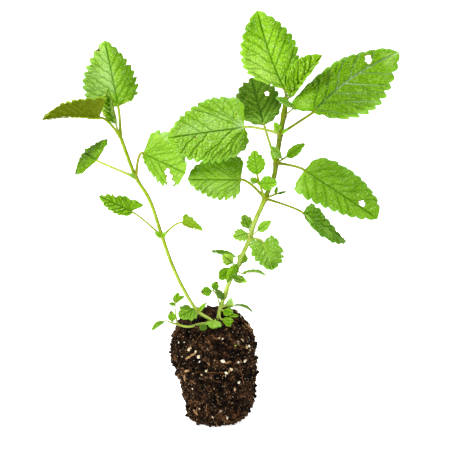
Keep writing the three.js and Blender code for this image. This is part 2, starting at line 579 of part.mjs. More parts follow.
// Grains of perlite, half sunk in the ball's side.
function perliteGrains() {
  const random = randomNumbers(PERLITE_SEED);
  const grains = [];
  for (let i = 0; i < PERLITE_COUNT; i++) {
    const height = THREE.MathUtils.lerp(PERLITE_HEIGHTS.low, PERLITE_HEIGHTS.high, random());
    const angle = 2 * Math.PI * random();
    const size = THREE.MathUtils.lerp(PERLITE_RADIUS.least, PERLITE_RADIUS.most, random());
    const grain = new THREE.OctahedronGeometry(size);
    grain.rotateZ(angle + random());
    grain.rotateX(random());
    const radius = rootBallRadiusAt(height);
    const x = radius * Math.cos(angle) + ballDrift(height);
    grain.translate(x, radius * Math.sin(angle), height);
    grains.push(toSolid(grain));
  }
  return grains;
}

// ---------------------------------------------------------------- assembly

const group = new THREE.Group();

function addNode(name, solid, colour, roughness) {
  const material = new THREE.MeshStandardMaterial({ color: colour, roughness, metalness: 0 });
  const mesh = new THREE.Mesh(toGeometry(solid), material);
  mesh.name = name;
  group.add(mesh);
}

const stemSolids = {};
const stemRooms = {};
for (const [key, stem] of Object.entries(STEMS)) {
  stemSolids[key] = toSolid(stemGeometry(stem, 0));
  stemRooms[key] = toSolid(stemGeometry(stem, CLEARANCE));
}

const startOf = ({ stem, from }) => vec(STEMS[stem].points[from]);
const leafRoom = (leaf) => toSolid(leafGeometry(leaf, startOf(leaf), CLEARANCE));

// The stems stand in plain holes, and stalks that leave them at soil level lie in grooves.
let soil = toSolid(rootBallGeometry());
for (const grain of perliteGrains()) soil = soil.add(grain);
for (const room of Object.values(stemRooms)) soil = soil.subtract(room);
for (const leaf of LEAVES) if (leaf.from === 'soil') soil = soil.subtract(leafRoom(leaf));
addNode('root_ball', soil, COLOURS.soil, SOIL_ROUGHNESS);

for (const [key, solid] of Object.entries(stemSolids)) {
  let whole = solid;
  for (const axil of AXIL_LEAVES[key]) {
    const leaf = { ...axil, base: STEMS[key].points[axil.from], teeth: AXIL_TEETH };
    whole = whole.add(toSolid(leafGeometry(leaf, null)));
    stemRooms[key] = stemRooms[key].add(toSolid(leafGeometry(leaf, null, CLEARANCE)));
  }
  addNode(`${key}_stem`, whole, COLOURS.stem, STEM_ROUGHNESS);
}

// A leaf or shoot, cut back from its stem and from the neighbours that it makes way for.
function cleared(solid, { stem, clear = [] }) {
  let rest = solid.subtract(stemRooms[stem]);
  for (const name of clear) {
    rest = rest.subtract(leafRoom(LEAVES.find((leaf) => leaf.name === name)));
  }
  return rest;
}

for (const leaf of LEAVES) {
  let solid = cleared(toSolid(leafGeometry(leaf, startOf(leaf))), leaf);
  for (const hole of leaf.holes ?? []) solid = solid.subtract(holeCutter(leaf, hole));
  addNode(leaf.name, solid, COLOURS[leaf.colour ?? 'leaf'], LEAF_ROUGHNESS);
}

for (const shoot of SHOOTS) {
  const [first, ...others] = shoot.leaves;
  const fork = stalkCurve(first, startOf(shoot)).getPoint(SHOOT_FORK);
  let solid = toSolid(leafGeometry(first, startOf(shoot)));
  for (const leaf of others) solid = solid.add(toSolid(leafGeometry(leaf, fork)));
  addNode(shoot.name, cleared(solid, shoot), COLOURS.leaf, LEAF_ROUGHNESS);
}

export default group;
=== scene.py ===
# A young lemon balm plant with its bare root ball, dressed for the camera around the packed
# frame: toothed, quilted leaves, square stems with a runner, and a crumbly peat ball with
# perlite, bark and roots. The lists are in millimetres in the frame's own axes, as the solids
# are, and MM turns them into metres.

import math
from collections import namedtuple

import bmesh
import bpy
import numpy as np
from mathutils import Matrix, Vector, noise


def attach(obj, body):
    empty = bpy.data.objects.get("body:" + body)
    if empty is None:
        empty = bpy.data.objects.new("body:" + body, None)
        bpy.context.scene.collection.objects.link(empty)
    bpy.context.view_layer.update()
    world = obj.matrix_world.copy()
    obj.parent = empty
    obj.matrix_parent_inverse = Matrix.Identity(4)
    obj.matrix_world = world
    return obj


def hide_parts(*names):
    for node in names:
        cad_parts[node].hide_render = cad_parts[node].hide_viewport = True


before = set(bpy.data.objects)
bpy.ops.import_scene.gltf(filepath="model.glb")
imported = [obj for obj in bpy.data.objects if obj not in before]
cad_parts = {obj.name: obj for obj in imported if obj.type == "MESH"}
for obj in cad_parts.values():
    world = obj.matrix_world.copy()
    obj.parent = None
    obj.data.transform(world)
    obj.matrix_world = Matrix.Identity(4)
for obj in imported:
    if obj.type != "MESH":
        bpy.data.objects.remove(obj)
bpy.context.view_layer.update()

MM = 0.001

# ---------------------------------------------------------------- driving dimensions

BLADE_THICKNESS = 0.34
MESH_STEP = 0.37  # between neighbouring points of a blade
FULL_WIDTH = 26  # leaves narrower than this have less relief
TIP_HALF_WIDTH = 0.25
TIP_START, TIP_SHAPE = 0.3, (1.1, 0.85)  # where in the last tooth the tip starts to close, and how
TOOTH_CREST = 0.62  # where a tooth's crest lies between its two notches
TOOTH_ROUNDNESS = 0.6
TOOTH_DEPTHS = (0.7, 0.6)  # the least depth of a notch as a share, and how much more at random
SCALLOP = 0.85  # how deep the notches are, as a share of the solid's
CREST_LEAN = 0.08  # how far a crest leans to the tip, as a share of its tooth
VEIN_SWEEP = 0.25  # how far the rows across a blade sweep forward at its base
LOBE_ROUNDNESS, LOBE_FALLOFF = 1.5, 6
FOLD_ROUND = 0.7  # radius of the fold along the midrib
RIPPLE_PER_TOOTH, RIPPLE_ACROSS = 1.1, 2.5  # phase of a waved margin, in radians
STALK_RADIUS = (0.32, 0.018, 0.8)  # at no width, how much more per mm of width, and the most
STALK_SWELLING = (1.45, 1.3, 1.15, 1.05)  # of a stalk's first places, at its stem
STALK_CURVE = 0.25  # how soon a stalk turns into its blade's direction
STALK_STEPS, STALK_SIDES = 14, 10
STALK_GROOVE = 0.28
MIDRIB_END = 0.93  # where the midrib fades out, as a share of the length
MIDRIB_RADIUS = 0.22  # at its thin end
SHOOT_FORK = 0.8  # where a shoot's other leaves leave its first leaf's stalk
AXIL_TEETH = 2
AXIL_SEED, SHOOT_SEED, SHOOT_SEED_STEP = 60, 80, 5

VEIN_SPACING, VEIN_LEAST = 0.14, 2.2  # between side veins: share of the length, least in mm
VEIN_END = 0.74  # the last side vein leaves the midrib at this share of its length
VEIN_STAGGER = 0.4  # how much further on, in spacings, the second half's veins start
VEIN_JITTER = 0.3  # how far a vein's start shifts at random, in spacings
VEIN_SLOPE = (0.85, 1.3)  # how far a side vein runs forward, at the base and at the tip
VEIN_BEND = 0.01  # and how it curves on, per mm
VEIN_SWAY = (0.7, 0.3)  # broad and short wander of the veins, in mm
VEIN_WIDTH = 0.22
FAN_END, FAN_REACH = (0.3, 0.65), 0.4  # which veins spread from the base, and how far out
VEIN_FORKS = (0.3, 0.52, 0.74)  # where a side vein forks, as shares of the half width
FORK_JITTER = 0.3  # how far those places shift at random, as a share
FORK_TURN = (1.0, 0.85, 0.7)  # how far each branch turns back towards the base
FORK_BEND, FORK_FAINTNESS = 0.03, 0.1
GROOVE, MIDRIB_GROOVE, MIDRIB_GROOVE_WIDTH = 0.3, 0.4, 0.6
QUILT, QUILT_EDGE = 0.5, 0.62  # height of the quilting, and how far from a vein it rises
CELL, CELL_HEIGHT = 2.3, 0.42  # the larger cells of the quilting
SMALL_CELL, SMALL_CELL_HEIGHT = 1.6, 0.3
CELL_JITTER = 0.62
BUCKLE, BUCKLE_LENGTH = 0.45, 9.0  # broad unevenness of a blade
BASE_FADE, TIP_FADE, MARGIN_FADE = 0.06, 0.1, 0.14  # where the relief starts, as shares
RIM_WIDTH = 0.16  # of the differently coloured margin, as a share of the half width
NET_WIDTH, FINE_NET_WIDTH, FINE_NET = 0.2, 0.24, 0.7  # widths of its lines, partly painted shade in its grooves, and the finer's strength
MIDRIB_WIDTH = (0.12, 0.15, 0.2)  # of its pale line: plain, with its veins' width, and at the base
FLAT_SHIFT = 3.7  # between the grain of one leaf and that of the next
FAR = 9.0  # a distance beyond every vein and cell border
WOUND_EDGE, WOUND_BROWN = 0.45, 0.55  # how far from a hole a blade is brown, and how much
WOUND_RAGGED = ((2, 0.2), (5, 0.12))  # waves of a hole's edge: how many round it, and how high
MIDRIB_SINK = (0.15, 0.4)  # how deep under the blade it starts, and how much deeper it gets

STEM_STEP, STEM_SIDES = 0.6, 40
STEM_SIDE = np.array([0.55, -0.83, 0])  # the way one of its flat sides faces
STEM_SQUARENESS = 0.11
NODE_SWELLING, NODE_LENGTH = 0.28, 2.2
NODE_RED, NODE_RED_LENGTH = 0.5, 1.6

# ---------------------------------------------------------------- the plant

# What a leaf is like where its own entry doesn't say. Pairs are for its two halves. Places on a
# blade are a share of its length and a share of its half width, from -1 to 1.
PLAIN_LEAF = dict(
    fold=0,  # degrees that its halves are folded up
    shapes=((0.45, 0.85), (0.45, 0.85)),  # how blunt each half is at its base and at its tip
    sides=(1, 1),  # how wide each half is
    lobes=(0.04, 0.04),  # how far each half reaches back at its base, as a share of the length
    arch=0, bend=0,  # how far its middle rises, and moves aside, as shares of the length
    curl=0,  # how far its margins bend under, as a share of the half width
    wave=0,  # height of its margins' waves
    cut=0.075, notches=(1, 1),  # depth of its notches as a share of its width, and each half's share
    sharp=(0.1, 0.1),  # how pointed the teeth of each half are
    holes=(), bites=(),  # places and radii, in the solid too, and in the blade alone
    tint=0, patches=(),  # lighter or darker all over, and at places, with two radii and an amount
    stains=(),  # brown spots: places, radii and amounts
    crumple=1,  # height of its quilting
    veins=1, ink=0.9, fan=0,  # width and strength of its veins, and how far they start as a fan
    plain_base=0,  # how little its veins show near the base
    stalk=0, red=0, thick=1,  # how light, how red and how thick its stalk is
)
COLOUR_TONES = {"leaf": "fresh", "pale": "pale", "deep": "deep"}
COLOUR_SLOTS = {"leaf": "leaf_green", "pale": "leaf_pale", "deep": "leaf_deep"}


def blade(base, tip, face, width, teeth, **form):
    """A blade: the two ends of its midrib, the way it faces, and how it isn't a plain one."""
    return dict(base=base, tip=tip, face=face, width=width, teeth=teeth, **form)


def leaf(name, stem, node, *place, colour="leaf", tone=None, **form):
    """A leaf on its own stalk, which leaves this stem at this point."""
    return dict(name=name, stem=stem, node=node, blades=[blade(*place, **form)],
                slot=COLOUR_SLOTS[colour], tone=tone or COLOUR_TONES[colour])


def shoot(name, stem, node, *blades, tone="fresh", **form):
    """A spray of blades on one forked stalk. What form says holds for all of them."""
    return dict(name=name, stem=stem, node=node, blades=[dict(one, **form) for one in blades],
                slot="leaf_green", tone=tone)


LEAVES = [
    leaf("left_crown_tall_leaf", "left", "crown", (-57, -8, 194.5), (-64.5, -3, 232.5), (0.1, -1, 0.1),
         33, 9, fold=10, shapes=((0.2, 0.75), (0.25, 0.75)), sides=(0.88, 1.14), lobes=(0.02, 0.1),
         wave=0.8, notches=(1.25, 1.2), sharp=(0.4, 0.4), colour="pale", tint=0.1,
         patches=[(0.4, -0.85, 0.7, 0.5, -1.2), (0.02, 0, 0.1, 0.4, -0.8), (0.5, 0.3, 0.4, 0.5, 0.3)],
         crumple=0.8, veins=0.8, stains=[(0.88, 0.3, 1.0, 1)]),
    leaf("left_crown_drooping_leaf", "left", "crown", (-67, -19, 189.5), (-100, -24, 189),
         (-0.03, 0.12, 1), 33, 9, fold=47, shapes=((0.05, 0.5), (0.03, 0.6)), sides=(0.7, 1),
         lobes=(0, 0.26), arch=0.06, wave=0.4, colour="deep", tone="olive", tint=-0.4,
         patches=[(0.6, 0.97, 0.5, 0.1, 1.4)], stains=[(0.75, 0.95, 1.6, 1), (1, 0.2, 1.6, 0.6)]),
    leaf("left_crown_young_leaf", "left", "crown", (-58, -16, 185.5), (-61.5, -25.5, 207),
         (-0.6, -0.7, 0.1), 15, 7, fold=46, wave=0.5, notches=(1.5, 1), tone="vivid",
         patches=[(0.5, -0.3, 0.9, 0.8, -1.5), (0.5, 1, 0.7, 0.35, 1.2)], crumple=1.3),
    leaf("left_first_left_leaf", "left", "first", (-69.5, -16, 164), (-79, 6, 165), (-0.55, -0.41, 0.63),
         29, 6, fold=8, shapes=((0.2, 0.9), (0.2, 0.9)), curl=0.06, notches=(1.4, 1.4), colour="deep",
         tone="fresh", tint=-0.25, crumple=1.4, stalk=0.7,
         stains=[(0.4, 0.9, 1.4, 1), (0.62, 1, 1.0, 1)]),
    leaf("left_first_right_leaf", "left", "first", (-42.5, -15, 168), (-17.5, -33, 159.5),
         (-0.5, -0.8, 0.3), 33, 8, shapes=((0.6, 0.4), (0.18, 0.6)), sides=(0.77, 1.08), lobes=(0.1, 0.2),
         curl=0.12, wave=0.8, notches=(1.7, 1), sharp=(0.7, 0.2),
         holes=((0.64, -0.22, 1.7), (0.72, -0.4, 2.2), (0.79, -0.6, 2.7), (0.86, -0.8, 3.4)),
         colour="pale", tint=-0.15, patches=[(0.5, 0.9, 0.5, 0.25, 0.5), (0.5, -0.3, 0.3, 0.3, -0.2)],
         crumple=0.7, ink=0.6, fan=0.8, red=0.8),
    leaf("left_second_left_leaf", "left", "second", (-49.5, -12, 132.5), (-68, -20, 143.5),
         (0.1, -0.75, 0.6), 15, 6, shapes=((0.1, 0.8), (0.4, 0.6)), sides=(1.15, 0.8), lobes=(0.48, 0.1),
         wave=0.5, notches=(1.4, 1.2), sharp=(0.5, 0.5), holes=((0.56, -0.85, 2.2),), tone="vivid",
         tint=-0.05),
    leaf("left_second_right_leaf", "left", "second", (-19.5, -12, 126), (-7.5, -18, 122.5),
         (-0.25, 0.25, 0.93), 18.5, 4, fold=55, shapes=((0.15, 0.8), (0.3, 0.8)), sides=(1, 0.5),
         lobes=(0.14, 0.04), red=0.4),
    leaf("left_collar_leaf", "left", "collar", (-12.5, -8, 71.5), (-22, -17, 69.5), (-0.1, -0.75, 0.65),
         13, 3, lobes=(0.12, 0.05), arch=0.06, cut=0.13, tint=0.1),
    leaf("right_crown_tall_leaf", "right", "crown", (41, 13, 202), (24.5, 10, 249), (0.05, -1, 0.1), 38,
         10, fold=8, shapes=((0.6, 0.85), (0.5, 0.75)), sides=(0.9, 0.95), lobes=(0.02, -0.06), bend=0.03,
         wave=0.9, colour="pale", tone="bright",
         patches=[(0.86, 0.6, 0.14, 0.5, -0.9), (0.5, -0.9, 0.35, 0.35, -0.9),
                  (0.25, 0.5, 0.4, 0.4, 0.3)], crumple=1.1, veins=0.8, ink=0.8),
    leaf("right_crown_folded_leaf", "right", "crown", (43.5, 4, 198.5), (62, -4, 224),
         (-0.55, -0.75, 0.3), 20, 8, fold=36, shapes=((0.45, 0.85), (0.5, 0.6)), sides=(0.42, 1.03),
         bend=0.01, wave=0.5, notches=(2.2, 0.6), sharp=(0.8, 0.1), tone="vivid", crumple=1.5,
         stains=[(0.97, 0, 1.2, 0.3)]),
    leaf("right_crown_small_leaf", "right", "six", (45.5, -2, 194.5), (35, -10, 200), (0.1, -0.6, 0.8), 8,
         4, tone="mid", tint=0.15, crumple=0.4),
    leaf("right_fifth_right_leaf", "right", "five", (57.5, 0, 190), (108.5, 8, 224.5), (-0.1, -0.9, 0.35),
         38, 11, fold=6, shapes=((0.65, 0.95), (0.2, 0.6)), sides=(1.28, 0.76), lobes=(0, 0.28),
         bend=0.06, wave=0.9, notches=(1.1, 0.6), sharp=(0.3, 0.15), holes=((0.72, 0.22, 2.2),),
         tone="ribbed", tint=-0.2,
         patches=[(0.9, 0, 0.12, 0.9, 0.5), (0.03, 0.6, 0.08, 0.4, 0.45), (0.35, -0.3, 0.3, 0.5, -0.3),
                  (0.7, -0.6, 0.2, 0.4, 0.25), (0.25, -0.95, 0.3, 0.12, 0.45)], crumple=1.35, veins=0.6,
         ink=0.8, plain_base=0.8, stains=[(0.71, 0.62, 1.1, 1)]),
    leaf("right_fifth_left_leaf", "right", "five", (17, -5, 182), (-27, -34, 180), (0.1, -1, 0.3), 40, 10,
         shapes=((0.16, 0.65), (0.3, 0.5)), sides=(1.02, 0.93), lobes=(0.2, 0.13), curl=0.08, wave=1,
         notches=(0.7, 1.1), colour="pale", tint=-0.1,
         patches=[(0.0, 0.8, 0.14, 0.6, -1.4), (0.5, -0.2, 0.5, 0.5, 0.3), (0.03, 0, 0.1, 0.25, 0.9)],
         crumple=1.2, ink=0.75, fan=1, stalk=0.6,
         stains=[(0.52, -0.9, 0.7, 1), (0.67, 0.1, 0.6, 0.8), (0.9, 0.6, 0.6, 0.9),
                 (0.08, -0.4, 0.5, 0.8)]),
    # its deep tone and darker tint are painted shade, for a leaf that stands in shade at the back
    leaf("right_fourth_back_leaf", "right", "four", (29, 18, 180), (21.5, 36, 206.5), (0.05, -1, 0.35),
         28.5, 7, fold=6, shapes=((0.35, 0.6), (0.35, 0.6)), holes=((0.6, -0.47, 1.5),),
         bites=[(0.97, 0.25, 1.8), (0.9, 0.5, 1.2)], colour="deep", tint=-0.2,
         patches=[(0.05, 0, 0.2, 1, 0.8)], crumple=0.8, stalk=0.3),
    leaf("right_fourth_right_leaf", "right", "four", (52.5, -3, 156), (94.5, -22, 130.5),
         (-0.1, -0.85, 0.5), 32, 9, shapes=((0.08, 0.6), (0.2, 0.45)), sides=(0.88, 1.03),
         lobes=(0.06, 0.06), curl=0.1, wave=0.7, notches=(1.1, 0.6), holes=((0.76, 0.15, 1.8),),
         tone="mid", tint=-0.3, patches=[(0.0, -0.8, 0.15, 0.6, 0.7), (0.6, 0.5, 0.4, 0.4, -0.2)],
         crumple=0.9, veins=0.6, ink=0.6),
    leaf("right_fourth_small_right_leaf", "right", "four", (42, 0, 163.5), (52.5, -4, 172),
         (-0.4, -0.7, 0.5), 7.5, 4, colour="deep", tone="fresh", tint=-0.5, thick=1.4),
    leaf("right_fourth_small_left_leaf", "right", "four", (39, 0, 163), (32.5, -6, 170.5),
         (0.4, -0.8, 0.5), 6, 3, colour="pale"),
    leaf("right_third_left_leaf", "right", "three", (15, 1, 149.5), (-16.5, -11, 152), (0.1, -1, 0.2), 27,
         8, shapes=((0.12, 0.5), (0.18, 0.6)), sides=(1.1, 0.95), lobes=(0.2, 0.08), curl=0.1, wave=0.7,
         notches=(0.8, 1.6), tone="pale",
         # the first patch is a painted shadow on its upper half, cast by the leaf in front of it
         patches=[(0.5, -0.8, 0.9, 0.5, -1.6), (0.6, 0.6, 0.4, 0.4, 0.15)], crumple=0.6, ink=0.35,
         fan=0.7),
    leaf("right_third_right_leaf", "right", "three", (53, 12, 127), (80, 18, 108), (0.4, -0.5, 0.7), 22,
         7, fold=12, shapes=((0.4, 0.6), (0.15, 1.3)), sides=(1.1, 0.98), lobes=(0, 0.03), colour="deep",
         tone="mid", tint=-0.6, patches=[(0.08, -0.3, 0.1, 0.5, 1.2), (0.55, -0.3, 0.12, 0.4, 0.9)],
         stains=[(0.04, -0.3, 0.8, 1)]),
    leaf("right_second_left_leaf", "right", "two", (19, -1, 117), (10.5, -9, 116.5), (-0.2, -0.9, 0.4),
         10, 4, cut=0.12, notches=(1.5, 1.5), sharp=(0.7, 0.7), tone="bright", tint=0.15),
    leaf("right_second_back_leaf", "right", "two", (20, 11, 117.5), (16.5, 15, 125), (-0.2, -1, 0.3), 8,
         3, notches=(1.5, 1.5), sharp=(0.7, 0.7), colour="pale", tone="bright", tint=0.2),
    leaf("right_second_small_leaf", "right", "two", (25, 2, 118), (33, 0, 124.5), (-0.3, -0.8, 0.5), 6.5,
         3, colour="pale"),
    leaf("right_second_right_leaf", "right", "two", (28, -3, 112), (33.5, -17, 98.5), (0.2, -0.8, 0.55),
         24, 5, shapes=((0.3, 0.7), (0.3, 0.7)), sides=(0.78, 0.95), lobes=(0.5, 0.6), curl=0.06,
         wave=0.6, cut=0.1, notches=(1.3, 1.3), colour="pale", tone="mint",
         patches=[(0.95, 0, 0.2, 0.8, -1.2)], crumple=1.3, veins=0.6, ink=0.8, fan=0.7,
         stains=[(0.15, -0.75, 0.7, 1), (1, -0.4, 1.1, 0.8)]),
    leaf("right_first_right_leaf", "right", "one", (16, -2, 92.5), (30, -10, 93), (0.1, 0.1, 1), 6.5, 5,
         fold=30, arch=0.12, tone="mid", stains=[(0.7, 0.6, 0.7, 1)]),
    leaf("right_first_top_leaf", "right", "bend", (11.5, 1, 102.5), (-3, -4, 107), (0, -0.35, 1), 6.5, 5,
         fold=25, tone="mid", tint=-0.2, stains=[(0.4, -0.3, 0.8, 0.5)]),
    leaf("right_first_upper_leaf", "right", "one", (10, -2, 99), (4, -7, 105), (-0.1, -1, 0.3), 7.5, 3,
         tone="vivid", tint=0.3),
    leaf("right_first_left_leaf", "right", "one", (9.5, -4, 96), (2, -10, 91), (-0.5, -0.8, 0.3), 10, 4,
         colour="deep", tone="fresh", tint=-0.15),
    leaf("right_first_middle_leaf", "right", "one", (12.5, -5, 99), (6.5, -12, 89.5), (-0.2, -1, 0.2),
         6.5, 4, tone="vivid", patches=[(0.5, 0.7, 0.6, 0.6, -1.2)]),
    leaf("right_first_lower_leaf", "right", "one", (10.5, 0.5, 89.5), (18.5, -6, 88.5), (0.1, -0.9, 0.4),
         5.5, 3, tone="bright", tint=0.25),
    leaf("right_first_back_leaf", "right", "one", (15.5, 7, 96.5), (17, 9, 103), (0.3, -1, 0.1), 7, 3,
         colour="deep", tone="fresh", tint=0.1),
    leaf("foot_right_pale_leaf", "right", "base", (5.5, 0, 72.5), (10.5, -3, 72), (0.1, -0.9, 0.2), 7, 3,
         sides=(0.3, 1.5), colour="pale", tint=0.4),
    leaf("foot_right_arching_leaf", "right", "base", (11, -6, 74), (22, -12, 71), (0.1, 0.2, 1), 5.5, 5,
         fold=30, arch=0.1, colour="deep"),
    leaf("foot_long_leaf", "right", "shin", (5, -1, 76.5), (-0.5, -6.5, 84), (0.5, -0.8, 0.4), 5, 4,
         colour="deep"),
    leaf("soil_front_round_leaf", "left", "soil", (-0.5, -10, 65.5), (-2, -17, 62.5), (0, -0.7, 0.7), 10,
         3, notches=(1.4, 1.4), colour="pale", tone="mint", tint=-0.1, crumple=1.4,
         stains=[(0.5, 0.3, 0.4, 0.4)]),
    leaf("soil_front_small_leaf", "runner", "soil", (-6.5, -13.5, 63.5), (-9, -17.5, 61.5),
         (0, -0.7, 0.7), 5, 3, colour="deep"),
    leaf("runner_left_leaf", "runner", "crown", (-31, -17, 67), (-38, -22, 63), (-0.4, -0.3, 0.85), 6.5,
         5, fold=24),
]

SHOOTS = [
    shoot("right_third_upright_shoot", "right", "three",
          blade((24.5, -5, 153.5), (22.5, -8, 168.5), (0, -1, 0.1), 12, 5),
          blade((25.5, -5.5, 148), (36, -9, 149.5), (0.1, -1, 0.2), 9.5, 3),
          blade((24.5, -5.5, 149), (20.5, -8, 151.5), (0, -1, 0.3), 4.5, 2),
          notches=(1.3, 1.3), sharp=(0.5, 0.5), tone="bright", tint=-0.4, thick=1.3),
    shoot("right_third_twig", "right", "three",
          blade((37, 1, 141), (42, 0, 142.5), (0, -0.5, 1), 2.6, 2),
          blade((35.5, 1, 141), (36.5, -1, 145.5), (0, -1, 0.2), 2.4, 2),
          tint=-0.6, thick=1.8),
    shoot("right_crown_bud", "right", "crown",
          blade((41.6, 7, 203), (41, 6, 211.5), (1, -0.8, 0.2), 6, 3, fold=30),
          blade((43.2, 7, 203), (44.5, 6, 208), (-1, -0.8, 0.2), 4, 2, fold=30)),
    shoot("foot_left_shoot", "right", "base",
          blade((-2.6, -3, 82), (-9, -6, 82), (-0.1, -0.9, 0.5), 6.5, 3),
          blade((-1.5, -2.5, 82.5), (0.5, -4, 88), (0, -1, 0.3), 5, 3),
          tone="mid", stains=[(0.98, 0, 0.9, 1)]),
    shoot("soil_right_shoot", "right", "base",
          blade((4.5, -4, 70), (10, -8, 69.5), (0.1, -0.8, 0.6), 6.5, 3),
          blade((7.5, -6.5, 68), (13.5, -9, 68), (0.2, -0.6, 0.8), 3.2, 2)),
    shoot("soil_front_right_shoot", "right", "base",
          blade((3.8, -7.4, 65.1), (10.5, -11.4, 65.5), (0, -0.7, 0.7), 5, 3),
          blade((6, -8.5, 65), (8.5, -13, 62.5), (0, -0.7, 0.7), 4, 2)),
    shoot("runner_back_shoot", "runner", "shoot",
          blade((-24.3, -13, 77), (-22.5, -15, 84), (0.1, -1, 0.3), 4.6, 3),
          blade((-24.5, -13.5, 76.5), (-28, -15, 77.2), (0, -1, 0.5), 2.6, 2),
          blade((-23.5, -14, 79.5), (-19, -16, 82), (0, -1, 0.4), 3, 2)),
    shoot("runner_middle_leaf", "runner", "shoot",
          blade((-26, -18, 67), (-26.5, -19.5, 74), (-0.2, -1, 0.3), 5.2, 3),
          stains=[(0.9, 0.3, 0.8, 1)]),
]
# The stems: radius at the foot and at the crown, the points where they swell, and the points
# that they pass. tints says how light (1) or olive (-1) a stem is at shares of its length, and
# axils are tiny blades on the stem itself: from which point, the tip, the way it faces, width.
STEMS = {
    "left": dict(
        radius=(1, 1), nodes=("collar", "second", "first"),
        tints=((0, 0.15, 0.3, 0.6, 1), (0.9, 0.6, 0.15, 0.1, 0)),
        points=dict(foot=(2.5, -3, 50), soil=(-1, -3, 61.5), collar=(-11, -4, 69.5),
                    bend=(-19.5, -5, 83.5), shin=(-26.5, -6, 99.5), second=(-32, -8, 116.5),
                    knee=(-39.5, -10, 140), first=(-47, -11, 153), crown=(-55.5, -13, 177)),
        axils=[("first", (-50.5, -16.5, 156), (0, -1, 0.4), 3.2),
               ("second", (-36, -12.5, 120), (0, -1, 0.4), 3.4),
               ("second", (-29.5, -12.5, 120), (0, -1, 0.4), 3.2),
               ("collar", (-6, -5, 75), (-0.4, -1, 0.4), 3)]),
    "right": dict(
        radius=(1.1, 1.45), nodes=("one", "two", "three", "four", "five", "six"),
        tints=((0, 0.2, 0.5, 0.57, 0.63, 0.8, 1), (0.5, 0.6, 0.5, 0.2, -0.4, -0.7, -0.6)),
        points=dict(foot=(0, 2, 50), soil=(1, 2, 61), base=(2.5, 2, 69.5), shin=(8.5, 3, 87),
                    one=(12, 3.5, 93.5), bend=(16.5, 4, 104), two=(20.5, 5, 113),
                    knee=(22.5, 5, 120.5), three=(29.5, 6, 137), back=(35, 7, 151),
                    four=(36, 7, 158.5), five=(38.5, 8, 176), six=(40.5, 9, 187),
                    crown=(42, 10, 198)),
        axils=[("five", (34.8, 4, 183.5), (0, -1, 0.2), 5),
               ("five", (42.5, 1, 180), (0.3, -1, 0.6), 2.6),
               ("four", (32.5, 5, 166), (0.2, -1, 0.2), 2.4)]),
    "runner": dict(
        radius=(0.95, 0.6), nodes=("shoot",), tints=((0, 0.5, 1), (0.3, 0.5, 0.3)),
        points=dict(foot=(-1.5, -8, 52), soil=(-3.5, -8, 62), rise=(-9.5, -11, 63.5),
                    low=(-15.5, -13, 62.5), side=(-19.5, -14, 63), shoot=(-23, -15, 64.5),
                    crown=(-25.5, -16, 65.2)),
        axils=[]),
}

# ---------------------------------------------------------------- root ball

BALL_PROFILE = np.array([
    (0, 0), (14, 0), (17.2, 2), (19.2, 7), (20.6, 13), (22, 20), (23.4, 27), (24.8, 34),
    (25.6, 41), (25.6, 47), (24.4, 52.5), (21.5, 57.5), (17, 61), (9, 62.5), (0, 62),
], float)
BALL_SIDE = slice(1, 13)  # the points of the profile that go up its side
BALL_MIDDLE = np.array([0, 0, 30.0])
BALL_BULGE = (0, 10, 1.6)  # drift to +X: between these heights, by this much
BALL_LEAN = (18, 45, -3.3)
BALL_SHOULDER = (50, 58, 1)
SOIL_BANK = (-5, 20, 6)  # the top rises between these two Y, by this much
BALL_LUMPS = 0.8
BALL_FLAT = 8
BALL_COLUMNS, BALL_ROWS = 330, 208
BALL_WAVES = ((7.0, 1.0), (1.0, 0.5), (0.55, 0.3))  # smooth roughness: (lump size, height)
BALL_CRUMBS = ((3.0, 1.7), (1.4, 1.0))  # packed crumbs: (crumb size, height)
BALL_UPWARD = 0.4  # how much of its rise the way out of the ball's middle keeps for the relief
BALL_SETTLED = (4, 0.25)  # below this height the relief shrinks, down to this share at the floor
BALL_PAINTED_SHADING = 1.2  # painted light and shade: how much lighter its crests are painted than its gaps, per mm
BALL_SEED = 5
BALL_RADIUS, BALL_HIGHEST, BALL_CLEAR = 26, 0.98, 0.8  # limits to where things lie on it

# Crumbs strewn over the ball: how many, from which share of the profile up, the least size with
# what comes on top and the power that keeps most of them small, how far out they lie and how
# they are stretched as shares of their size, their roughness and their lightness.
Crumbs = namedtuple("Crumbs", "count low size lift stretch roughness tint")
PEAT_CRUMBS = Crumbs(2400, 0.08, (0.3, 1.5, 3), (-0.3, 0.5), (0.5, 1.2), 0.35, (-1, 1))
PEAT_BITS = Crumbs(2600, 0.03, (0.25, 0.35, 1), (0, 0.9), (0.4, 1.3), 0.4, (-1.5, 0.8))
GRAIN_COUNT, GRAIN_LOW, GRAIN_SIZE, GRAIN_STRETCH = 60, 0.15, (0.35, 1.3), (0.4, 1)
GRAIN_ROUGHNESS, GRAIN_LIFT, GRAIN_TINT = 0.45, 0.3, (-1, 0.8)
GRAIN_FRONT = (-6, 24)  # grains strewn before this Y and above this Z are left out
FRONT_GRAIN_LIFT, FRONT_GRAIN_STRETCH = (0.3, 0.2), (0.4, 0.95)
SPECK_COUNT, SPECK_LOW, SPECK_SIZE, SPECK_LIFT = 1500, 0.1, (0.08, 0.3), 0.35
SPECK_ROUGHNESS, SPECK_TINT = 0.3, (-1.6, 0.8)
CHIP_COUNT, CHIP_LOW, CHIP_REACH, CHIP_RADIUS = 50, 0.15, (1.0, 3.2), (0.25, 0.7)
CHIP_SHAPE = np.array([0.4, 0.9, 1, 0.9, 1, 0.8, 0.3])  # thickness along a chip
CHIP_CROOK, CHIP_SIDES, CHIP_SQUARENESS, CHIP_LIFT, CHIP_LEAST_Z = 0.25, 7, 0.1, 0.5, 1
FRONT_CHIP_SHAPE = np.array([0.5, 0.9, 1, 0.85, 1, 0.9, 0.8, 0.3])
